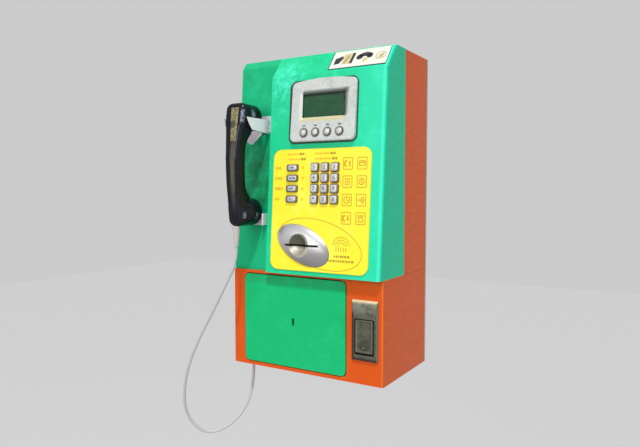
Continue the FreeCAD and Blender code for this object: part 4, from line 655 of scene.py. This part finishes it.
class Face:
    """The outer face of a CAD node, or its outline on another face: across, up and out."""

    def __init__(self, node, plane=None):
        mesh = frame["nodes"][node].data
        areas = {}
        for polygon in mesh.polygons:
            if polygon.normal.y < -0.3:
                key = tuple(round(part, 2) for part in polygon.normal)
                areas[key] = areas.get(key, Vector()) + polygon.normal * polygon.area
        normal = plane.out if plane else max(areas.values(), key=lambda total: total.length)
        self.out = Vector((0, normal.y, normal.z)).normalized()
        self.up = self.out.cross(RIGHT)
        flat = [[v.co.dot(way) / MM for way in (RIGHT, self.up, self.out)] for v in mesh.vertices]
        self.low = [min(values) for values in zip(*flat)]
        self.high = [max(values) for values in zip(*flat)]
        if plane:
            self.high[2] = plane.high[2]
        self.middle = [(a + b) / 2 for a, b in zip(self.low, self.high)]
        self.width, self.height = (self.high[i] - self.low[i] for i in (0, 1))

    def matrix(self, across=0, up=0, out=0):
        """Takes millimetres from a place on the face, counted from its lower left corner."""
        place = (RIGHT * (self.low[0] + across) + self.up * (self.low[1] + up)
                 + self.out * (self.high[2] + out))
        columns = Matrix((RIGHT, self.up, self.out)).transposed()
        return Matrix.Scale(MM, 4) @ Matrix.Translation(place) @ columns.to_4x4()


# ---------- flat 2D outlines
def rect(x, y, width, height, corner=0, steps=4):
    """Rounded rectangle about (x, y), counter-clockwise."""
    if corner <= 0:
        return [(x + i * width / 2, y + j * height / 2)
                for i, j in ((-1, -1), (1, -1), (1, 1), (-1, 1))]
    points = []
    for k, (i, j) in enumerate(((1, -1), (1, 1), (-1, 1), (-1, -1))):
        for step in range(steps + 1):
            turn = pi / 2 * (k - 1 + step / steps)
            points.append((x + i * (width / 2 - corner) + corner * cos(turn),
                           y + j * (height / 2 - corner) + corner * sin(turn)))
    return points


def disc(x, y, radius, count=24):
    return [(x + radius * cos(2 * pi * i / count),
             y + radius * sin(2 * pi * i / count)) for i in range(count)]


def arc(x, y, radius, start, end, count=16):
    """Points on an arc between two angles in degrees."""
    turns = [radians(start + (end - start) * i / count) for i in range(count + 1)]
    return [(x + radius * cos(t), y + radius * sin(t)) for t in turns]


def stroke(points, width, closed=False):
    """A line of the given width along the points, as a list of four-sided outlines."""
    count = len(points)
    sides = []
    for i in range(count):
        a = Vector(points[i - 1] if closed or i > 0 else points[i])
        b = Vector(points[(i + 1) % count] if closed or i < count - 1 else points[i])
        along = (b - a).normalized() * width / 2
        side = Vector((-along.y, along.x))
        here = Vector(points[i])
        sides.append((tuple(here + side), tuple(here - side)))
    quads = []
    for i in range(count if closed else count - 1):
        (a, b), (c, d) = sides[i], sides[(i + 1) % count]
        quads.append([a, b, d, c])
    return quads


def decal(name, outlines, face, finish, body="housing", thick=PRINT_THICK):
    """Thin raised print: each outline is in the face's across and up."""
    build = bmesh.new()
    for outline in outlines:
        low, high = ([build.verts.new((x, y, z)) for x, y in outline] for z in (0, thick))
        build.faces.new(high)
        skin(build, [low, high])
    bmesh.ops.recalc_face_normals(build, faces=build.faces)
    build.transform(face.matrix())
    settle(put(name, build), finish, body)


def terrace(name, levels, face, finish, body="housing", ring=False, replaced=None):
    """Skin over stacked outlines of as many points: (outline, height out) from back to front."""
    build = bmesh.new()
    loops = [[build.verts.new((x, y, out)) for x, y in outline] for outline, out in levels]
    skin(build, loops + loops[:1] if ring else loops)
    if not ring:
        build.faces.new(loops[-1])
        build.faces.new(loops[0])
    bmesh.ops.recalc_face_normals(build, faces=build.faces)
    build.transform(face.matrix())
    piece = put(name, build)
    smooth(piece, 38)
    settle(piece, finish, body, replaced)


def pad(name, face, x, y, width, height, corner, body, steps=4):
    """Softly crowned key top: a rounded rim that flattens towards the middle."""
    levels = [(rect(x, y, width, height, corner), -0.3)]
    for step in range(steps + 1):
        turn = pi / 2 * step / steps
        inset = 2.4 * KEY_CROWN * (1 - cos(turn))
        levels.append((rect(x, y, width - 2 * inset, height - 2 * inset, corner - inset / 2),
                       KEY_CROWN * sin(turn)))
    terrace(name, levels, face, "key", body)


def glyph(name, text, face, across, up, out, body):
    """A digit or sign, centred at a place on the face."""
    curve = bpy.data.curves.new(name + "_outline", "FONT")
    curve.body = text
    curve.size = GLYPH_SIZE * MM
    curve.align_x = curve.align_y = "CENTER"
    curve.extrude = 0.03 * MM
    curve.offset = 0.12 * MM
    mesh = mesh_from(curve)
    mesh.transform(face.matrix(across, up, out) @ Matrix.Scale(1 / MM, 4))
    mesh.name = name
    settle(put(name, mesh), "glyph", body)


def dress(node, width, angle=32):
    """A copy of a CAD solid with its sharp edges rounded, standing for the node."""
    build = bmesh.new()
    build.from_mesh(frame["nodes"][node].data)
    bmesh.ops.remove_doubles(build, verts=build.verts, dist=0.005 * MM)
    bmesh.ops.dissolve_limit(build, angle_limit=radians(0.6), verts=build.verts,
                             edges=build.edges)
    piece = put(node + "_dressed", build)
    bevel = piece.modifiers.new("edge", "BEVEL")
    bevel.width = width * MM
    bevel.segments = 2
    bevel.limit_method = "ANGLE"
    bevel.angle_limit = radians(angle)
    bevel.use_clamp_overlap = True
    smooth(piece, angle)
    weigh = piece.modifiers.new("flat_faces", "WEIGHTED_NORMAL")
    weigh.keep_sharp = True
    weigh.weight = 100
    apply_modifiers(piece)
    settle(piece, NODE_FINISH[node], frame["nodes"][node]["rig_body"], node)


# ---------- the cord
def cord_mesh(radius):
    """Mesh of the route's own spline: a tube of that radius, or its bare line at 0."""
    curve = bpy.data.curves.new("cord_route", "CURVE")
    curve.dimensions = "3D"
    spline = curve.splines.new("NURBS")
    spline.points.add(len(CORD_ROUTE) - 1)
    for point, place in zip(spline.points, CORD_ROUTE):
        point.co = (*place, 1)
    spline.order_u = 3
    spline.use_endpoint_u = True
    spline.resolution_u = 16
    curve.bevel_depth = radius
    curve.bevel_resolution = 5
    curve.use_fill_caps = True
    return mesh_from(curve)


def make_cord():
    """Tube along the cord's route in place of the CAD cord, with its boot below the mouthpiece."""
    line = cord_mesh(0)
    bpy.data.meshes.remove(line)
    cord = put("handset_lead", cord_mesh(CORD_RADIUS))
    cord.data.shade_smooth()
    paint(cord, "cord")
    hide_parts("handset_cord")
    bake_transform(cord)
    boot = make_boot()


def make_boot(levels=34, around=28):
    """Tapered strain relief below the mouthpiece, with shallow ribs towards its tip."""
    low, high, centre = box("cord_sleeve")
    top_radius, tip_radius, rib_depth = (high.x - low.x) / 2, 3.4, 0.28
    build = bmesh.new()
    rings = []
    for i in range(levels + 1):
        share = i / levels
        radius = tip_radius + (top_radius - tip_radius) * share ** 0.8 - rib_depth
        if share < 0.62:
            radius += rib_depth * cos(share * pi * 16)
        rings.append([vertex(build, x, y, low.z + share * (high.z - low.z))
                      for x, y in disc(centre.x, centre.y, radius, around)])
    tube(build, rings)
    boot = put("cord_boot", build)
    boot.data.shade_smooth()
    return settle(boot, "sleeve", "handset", "cord_sleeve")


# ---------- the handset
def handle_back(share):
    """How far the handle's outer face lies inside its furthest point, from foot 0 to top 1."""
    bend = share - 0.55
    return 13 * (bend / 0.45) ** 1.25 if bend > 0 else 8 * (bend / 0.55) ** 2


def handle_half(share):
    """Half the width of the handle's outer face: slim at the foot, broad at the earpiece."""
    swell = min(max((share - 0.58) / 0.3, 0), 1)
    return 10.4 + 2.4 * share + 5 * swell * swell * (3 - 2 * swell)


def make_handset():
    """Handle and both heads, blended into one moulding as the real shell is."""
    low, high, middle = box("handset_shell")
    middle = middle.x
    radius = high.x - middle
    build = bmesh.new()
    add_handle(build, low, high, middle, radius)
    add_head(build, low, high, middle, radius, high.z - radius, 19, 18.5)
    add_head(build, low, high, middle, radius, low.z + radius, 20, 15)
    bmesh.ops.recalc_face_normals(build, faces=build.faces)
    piece = put("handset_moulding", build)
    remesh = piece.modifiers.new("blend", "REMESH")
    remesh.mode = "VOXEL"
    remesh.voxel_size = VOXEL * MM
    soften = piece.modifiers.new("soften", "SMOOTH")
    soften.iterations = 6
    soften.factor = 0.5
    apply_modifiers(piece)
    piece.data.shade_smooth()
    settle(piece, "black", "handset", "handset_shell")
    make_handset_label(piece, middle, high.z - 9, 15.6, 54)


def add_handle(build, low, high, middle, radius, steps=48):
    """Bowed handle: a flat outer face, fuller sides and an inner face that flares to the heads."""
    rings = []
    for i in range(steps + 1):
        share = 0.05 + 0.89 * i / steps
        z = low.z + (high.z - low.z) * share
        outer = low.y + handle_back(share)
        near = max(min(z - low.z, high.z - z) - 2 * radius, 0)
        flare = 14 * max(0, 1 - near / 28) ** 2.4
        inner = min(outer + 23.5 + flare, high.y - 8)
        rings.append(handle_ring(build, middle, outer, inner, handle_half(share), z))
    tube(build, rings)


def handle_ring(build, x, outer, inner, half, z, around=40):
    """Section of the handle, sharper at its outer corners and widest halfway in."""
    ring = []
    for c, s in disc(0, 0, 1, around):
        u = copysign(abs(c) ** 0.32, c)
        v = copysign(abs(s) ** 0.36, s)
        side = half + 1.4 * (1 - v * v) + 0.4 * (1 + v)
        ring.append(vertex(build, x + side * u, (outer + inner) / 2 + (inner - outer) / 2 * v, z))
    return ring


def add_head(build, low, high, middle, radius, centre, reach_down, reach_up):
    """Round cup behind a cap, drawn in to the width of the handle's outer face."""
    length = high.z - low.z
    points = []
    for depth, shrink in ((0, 0), (13, 0), (15, 0.6)):
        points += [(x, high.y - depth, z) for x, z in disc(middle, centre, radius - shrink, 48)]
    up = centre + (reach_up - reach_down) / 2
    half = handle_half((centre - low.z) / length)
    for inset, depth in ((0, 6), (1.2, 2.4), (3.8, 0.4)):
        tall = reach_down + reach_up - 2 * inset + 6
        for x, z in rect(middle, up, 2 * (half + 1.6 - inset), tall, 11 - inset, 5):
            points.append((x, low.y + handle_back((z - low.z) / length) + depth, z))
    hull = bmesh.ops.convex_hull(build, input=[vertex(build, *point) for point in points])
    spare = {item for item in hull["geom_interior"] + hull["geom_unused"]
             if isinstance(item, bmesh.types.BMVert)}
    bmesh.ops.delete(build, geom=list(spare), context="VERTS")


def make_handset_label(shell, middle, top, width, height, columns=8, rows=30):
    """Thin bare plate, narrower at its foot, that follows the outer face of the upper head."""
    build = bmesh.new()
    grid = []
    for j in range(rows + 1):
        share, row = j / rows, []
        for i in range(columns + 1):
            x = middle + 1.5 + 2 * share + width * (1 - 0.35 * share) * (i / columns - 0.5)
            start = Vector((x * MM, -1, (top - height * share) * MM))
            place = shell.ray_cast(start, Vector((0, 1, 0)))[1]
            row.append(build.verts.new(place - Vector((0, 0.25 * MM, 0))))
        grid.append(row)
    for j in range(rows):
        for i in range(columns):
            build.faces.new((grid[j][i], grid[j + 1][i], grid[j + 1][i + 1], grid[j][i + 1]))
    piece = put("handset_label", build)
    plate = piece.modifiers.new("thick", "SOLIDIFY")
    plate.thickness = 0.5 * MM
    plate.offset = -1
    apply_modifiers(piece)
    piece.data.shade_smooth()
    settle(piece, "khaki", "handset")


# ---------- printed marks
def text_bars(x, y, widths, height, gap):
    """A bare line of short bars in place of words."""
    bars = []
    for width in widths:
        bars.append(rect(x + width / 2, y, width, height, height / 3, 2))
        x += width + gap
    return bars


def word_widths(total, seed):
    """Bar widths that fill about the total, uneven as words are."""
    chance = random.Random(seed)
    widths = []
    while sum(widths) + 1.3 * len(widths) < total:
        widths.append(chance.uniform(1.6, 5.2))
    return widths


def print_fascia():
    """Captions, instruction panels and the sign beside the card slot."""
    face, number, menu = Face("fascia"), Face("key_1"), Face("menu_key_1")
    top_row = number.middle[1] - face.low[1]
    words, heavy = [], []
    for i, (x, total) in enumerate(((menu.low[0] - face.low[0], 22),
                                    (number.low[0] - face.low[0] + 6.5, 26))):
        for j, up in enumerate((top_row + 21.5, top_row + 13.5)):
            widths = word_widths(total + j * 6, 10 * i + j)
            words += text_bars(x, up, widths, 3.3, 0.7)
            end = x + sum(widths) + 0.7 * (len(widths) + 1)
            heavy += text_bars(end, up, (5.6, 3.8), 4, 0.4)
    for j, total in enumerate((11, 14, 16, 8)):
        up = Face(f"menu_key_{j + 1}").middle[1] - face.low[1]
        words += text_bars(4, up, word_widths(total, 50 + j), 5, 0.5)
        words += text_bars(menu.high[0] - face.low[0] + 6, up, [3.4], 5, 0)
    decal("fascia_captions", words, face, "ink")
    decal("fascia_heavy_captions", heavy, face, "ink_dark")
    decal("fascia_icons", icon_panels(top_row), face, "line")
    print_dome_surround(face)


def moved(outlines, x, y):
    return [[(x + i, y + j) for i, j in outline] for outline in outlines]


def strokes(lines, width):
    return [quad for line in lines for quad in stroke(line, width)]


def call_sign(way):
    """A handset beside an arrow that points up at 1, down at -1."""
    head = [(3, 5 * way), (3 - 2.6 * way, way), (3 + 2.6 * way, way)]
    return stroke(arc(-1, 0, 4.6, 100, 260), 3) + [head, rect(3, -2 * way, 2.4, 6)]


def icon_panels(top_row):
    """Eight framed instruction panels, two across and four down, each its own sign."""
    waves = [arc(-3.8, 0, radius, -40, 40, 8) for radius in (3.4, 5.8, 8.2)]
    signs = (
        call_sign(1),
        stroke(rect(0, 0, 9.6, 6.8, 0.8), ICON_LINE, True) + [rect(0, 1, 9, 1.8)],
        [disc(i * 3.2, j * 3.8, 1.45, 12) for i in (-1, 0, 1) for j in (-1, 0, 1)],
        stroke(disc(0, 0, 4.6), 1.9, True) + [rect(0, 0, 2.4, 5)],
        stroke(disc(0, 0, 5), ICON_LINE, True) + stroke([(0, 3.4), (0, 0), (2.6, -2)], 1.9),
        [disc(-3.8, 0, 1.6, 12)] + strokes(waves, ICON_LINE),
        call_sign(-1),
        stroke([(-5.2, 4), (5.2, 4)], 2) + stroke(rect(0, -1.8, 7, 6.4, 0.8), ICON_LINE, True))
    shapes = []
    for i, sign in enumerate(signs):
        panel = stroke(rect(0, 0, 15.4, 17.4, 1.2), 1.5, True) + sign
        shapes += moved(panel, 136 + 24 * (i % 2), top_row + 5 - 27.4 * (i // 2))
    return shapes


def print_dome_surround(face):
    """Long oval line about the card slot, with a plain sign and two lines of bars."""
    turn = Matrix.Rotation(radians(-13.5), 2)
    centre, long_half, short_half = Vector((89.6, 43.1)), 76, 36.4
    oval = [centre + turn @ Vector((long_half * c, short_half * s)) for c, s in disc(0, 0, 1, 96)]
    decal("card_slot_oval", stroke(oval, FINE_LINE, True), face, "line")
    arches = strokes([arc(0, 0, radius, 5, 175, 18) for radius in (6, 10, 14.4)], FINE_LINE)
    bars = [rect(i * 4.2, -4.5, 1.5, 7) for i in (-2, -1, 0, 1, 2)]
    decal("card_slot_sign", moved(arches + bars, 129, 41), face, "line")
    lines = text_bars(117, 26, word_widths(26, 71), 3.5, 0.8)
    lines += text_bars(107, 19, word_widths(47, 72), 3.5, 0.8)
    decal("card_slot_captions", lines, face, "ink_dark")


def make_key_tops():
    """Pale crowned tops on the dark key bodies, with a digit or a mark on each."""
    signs = {"star": "*", "hash": "#"}
    for name in KEYS:
        face = Face(name)
        body = frame["nodes"][name]["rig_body"]
        x, y = face.width / 2, face.height / 2
        top = name + "_top"
        if name.startswith("round_key_"):
            make_round_top(top, face, x, y, body)
        elif name.startswith("menu_key_"):
            x += 1.2
            pad(top, face, x, y, 15.6, 8.2, 2.4, body)
            bars = text_bars(x - 4.4, y, word_widths(7, int(name[-1])), 2.4, 0.8)
            decal(name + "_mark", bars, face, "glyph", body, PRINT_THICK + KEY_CROWN)
        else:
            pad(top, face, x, y, face.width - 3.6, face.height - 3.6, 2.6, body)
            text = name.removeprefix("key_")
            glyph(name + "_sign", signs.get(text, text), face, x, y, KEY_CROWN + 0.06, body)


def make_round_top(name, face, x, y, body):
    """Lens-shaped button inside its dark ring."""
    radius = min(x, y) - 1
    levels = [(disc(x, y, radius, 32), -0.4)]
    for step in range(7):
        turn = pi / 2 * step / 7
        levels.append((disc(x, y, radius * cos(turn), 32), 1.9 * sin(turn)))
    terrace(name, levels, face, "button", body)


def bezel_outline(face, left, right, rise, arch=5):
    """Bezel's outline with its arched top edge, grown by a margin on each side."""
    width, height = face.width + left + right, face.height - arch + 2 * rise
    x, y = (face.width + right - left) / 2, (face.height - arch) / 2
    outline = []
    for across, up in rect(x, y, width, height, 8 + rise, 6):
        share = 2 * (across - x) / width
        outline.append((across, up + arch * (1 - share * share) if up > y else up))
    return outline


def print_bezel():
    """Dark gasket round the bezel, widened to the left as a painted shadow, and marks above the
    round keys.
    """
    face = Face("display_bezel")
    marks = []
    for i in (1, 2, 3, 4):
        key = Face(f"round_key_{i}", face)
        x, y = key.middle[0] - face.low[0], key.middle[1] - face.low[1] + 10.6
        marks.append(rect(x, y, 4.6 + 0.3 * i, 2 + 0.2 * i, 0.5, 2))
    decal("bezel_marks", marks, face, "mark")
    # the ring grows much wider to the left: painted shadow of the bezel
    base = Face("display_bezel", Face("front_cover"))
    inner = bezel_outline(base, -1, -1, -1)
    levels = [(bezel_outline(base, 6.4, 1.8, 2.6), 0), (bezel_outline(base, 5.2, 1.4, 1.9), 1),
              (inner, 1), (inner, 0)]
    terrace("bezel_gasket_and_shadow", levels, base, "gasket_and_shadow", ring=True)


def print_label():
    """Four plain signs on the label: a blot, a panel with a bar, a handset and a coin."""
    face = Face("instruction_label")
    wide, mid = face.width, face.height / 2
    edge = rect(wide / 2 - 0.5, mid - 0.8, wide + 2.2, face.height + 2.4, 1.5)
    terrace("label_shadow", [(edge, -0.5), (edge, -0.1)], face, "gasket_and_shadow")
    blot = [[(-6, -10), (3, -9), (8, 2), (6, 8), (0, 5), (-6, 3)]]
    slant = stroke([(9, -11), (10.5, 12)], 5) + stroke([(-3, -9), (3, 7)], 1.2)
    handset = stroke(arc(1, -7, 13, 40, 140, 12), 9) + [disc(-8, 1, 5.6), disc(9, 2, 5)]
    tail = [[(-2, -2), (2, -14), (9, -2)]]
    coin = stroke(disc(0, 0, 7.6), 2.4, True) + [disc(1, -1, 4.2)]
    core = stroke([(-2, -5), (4, 5)], 1.2)
    card_x, panel_x, call_x, coin_x = (share * wide for share in (0.12, 0.27, 0.58, 0.87))
    dark = moved(blot, card_x, mid) + moved(slant, panel_x, mid) + moved(handset, call_x, mid)
    cream = (moved([rect(1, 0, 15, 23, 1)], panel_x, mid) + moved(tail, call_x, mid)
             + moved(coin, coin_x, mid))
    decal("label_card", dark, face, "dark", thick=LABEL_THICK)
    decal("label_panel", cream, face, "cream")
    decal("label_coin", moved(core, coin_x, mid), face, "khaki", thick=LABEL_THICK)


def make_return():
    """Raised coin return surround with sloping sides, and the pressed flap inside it."""
    plate = Face("return_plate")
    x, y = plate.width / 2, plate.height / 2
    flap_x = Face("return_flap").middle[0] - plate.low[0]
    wide, tall, slope, rise = 44, 92, 3, 1.8
    window = rect(flap_x, 36.5, 34, 55, 3, 6)
    foot = rect(x, y, wide, tall, 0.8, 6)
    crown = rect(x, y - 1.3, wide - slope, tall - 6.6, 0.8, 6)
    levels = [(window, -2), (foot, -2), (foot, -0.6), (crown, rise), (window, rise)]
    terrace("return_surround", levels, plate, "bronze", ring=True, replaced="return_plate")
    wide, tall, front = 28.6, 50, rise + 0.6
    floor = front - 0.8
    levels = [(rect(flap_x - 0.6, 37.2, wide - inset, tall - inset, corner, 6), out)
              for inset, corner, out in ((0, 2.2, -5.2), (0, 2.2, front - 0.6), (1.2, 1.9, front),
                                         (4.4, 1.5, front), (6, 1.2, floor))]
    terrace("return_flap_panel", levels, plate, "bronze", "return_flap")
    levels = [(disc(flap_x, 23, radius, 32), floor + out)
              for radius, out in ((5.6, -0.2), (5.2, 0.6), (4.2, 0.6), (3.4, 0.05))]
    terrace("return_flap_dimple", levels, plate, "bronze", "return_flap")


# ---------- the studio
def aim(obj, direction):
    obj.rotation_euler = direction.to_track_quat("-Z", "Y").to_euler()


def make_camera():
    camera = put("camera", bpy.data.cameras.new("camera"))
    turn, dip = radians(CAMERA_AZIMUTH), radians(CAMERA_DIP)
    level = cos(dip)
    camera.location = CAMERA_PLACE
    aim(camera, Vector((-sin(turn) * level, cos(turn) * level, -sin(dip))))
    camera.data.lens = CAMERA_LENS
    camera.data.sensor_width = SENSOR_WIDTH
    camera.data.clip_start = 0.01
    bpy.context.scene.camera = camera


def make_world():
    """Even light on the object, and another value where a ray sees the backdrop itself."""
    world = bpy.data.worlds.new("studio")
    bpy.context.scene.world = world
    world.use_nodes = True
    nodes, join = world.node_tree.nodes, world.node_tree.links.new
    path = nodes.new("ShaderNodeLightPath")
    seen = path.outputs["Is Camera Ray"]
    for name in ("Is Glossy Ray", "Is Transmission Ray"):
        either = nodes.new("ShaderNodeMath")
        either.operation = "MAXIMUM"
        join(seen, either.inputs[0])
        join(path.outputs[name], either.inputs[1])
        seen = either.outputs[0]
    mix = nodes.new("ShaderNodeMix")
    mix.data_type = "RGBA"
    join(seen, mix.inputs["Factor"])
    mix.inputs["A"].default_value = (*[AMBIENT] * 3, 1)
    mix.inputs["B"].default_value = (*[BACKDROP] * 3, 1)
    join(mix.outputs["Result"], nodes["Background"].inputs["Color"])


def make_floor():
    bpy.ops.mesh.primitive_plane_add(size=FLOOR_SIZE, location=(0, 0, FLOOR_HEIGHT))
    floor = bpy.context.object
    floor.name = "studio_floor"
    surface = Finish("studio_floor", PALE, 0.9, Specular_IOR_Level=0.1)
    surface.layer((0.6, 0.6, 0.6), surface.noise(500, 3), 0.2)
    floor.data.materials.append(surface.done())


def make_light(name, kind, energy, place, target=(0, 0, 0), size=None, tint=(1, 1, 1)):
    data = bpy.data.lights.new(name, kind)
    data.energy = energy
    data.color = tint
    if size:
        data.shape = "RECTANGLE"
        data.size, data.size_y = size
    light = put(name, data)
    light.location = place
    aim(light, Vector(target) - Vector(place))
    return data


def make_studio():
    make_world()
    make_floor()
    make_light("key", "SUN", 2.1, (0.6, -1, 2.1)).angle = radians(5)
    make_light("front_fill", "AREA", 24, (-0.4, -2.7, 0.9), size=(1.8, 1.4))
    make_light("edge", "AREA", 1.6, (1.15, -0.55, 0), (0.12, -0.1, 0), (0.16, 1.1),
               (0.6, 0.92, 1))


# ---------- main
make_camera()
make_cord()
make_studio()
paint_nodes()
for shell, width in (("front_cover", 1.2), ("handset_panel", 0.8), ("rear_housing", 0.8),
                     ("lower_case", 0.6), ("vault_door", 0.7), ("fascia", 0.3),
                     ("handset_cradle", 0.5), ("mouthpiece_rest", 0.5), ("hook_lever", 0.4)):
    dress(shell, width)
dress("display_bezel", 0.4, angle=20)
make_handset()
make_return()
print_fascia()
make_key_tops()
print_bezel()
print_label()

bpy.context.scene.view_settings.view_transform = "Standard"
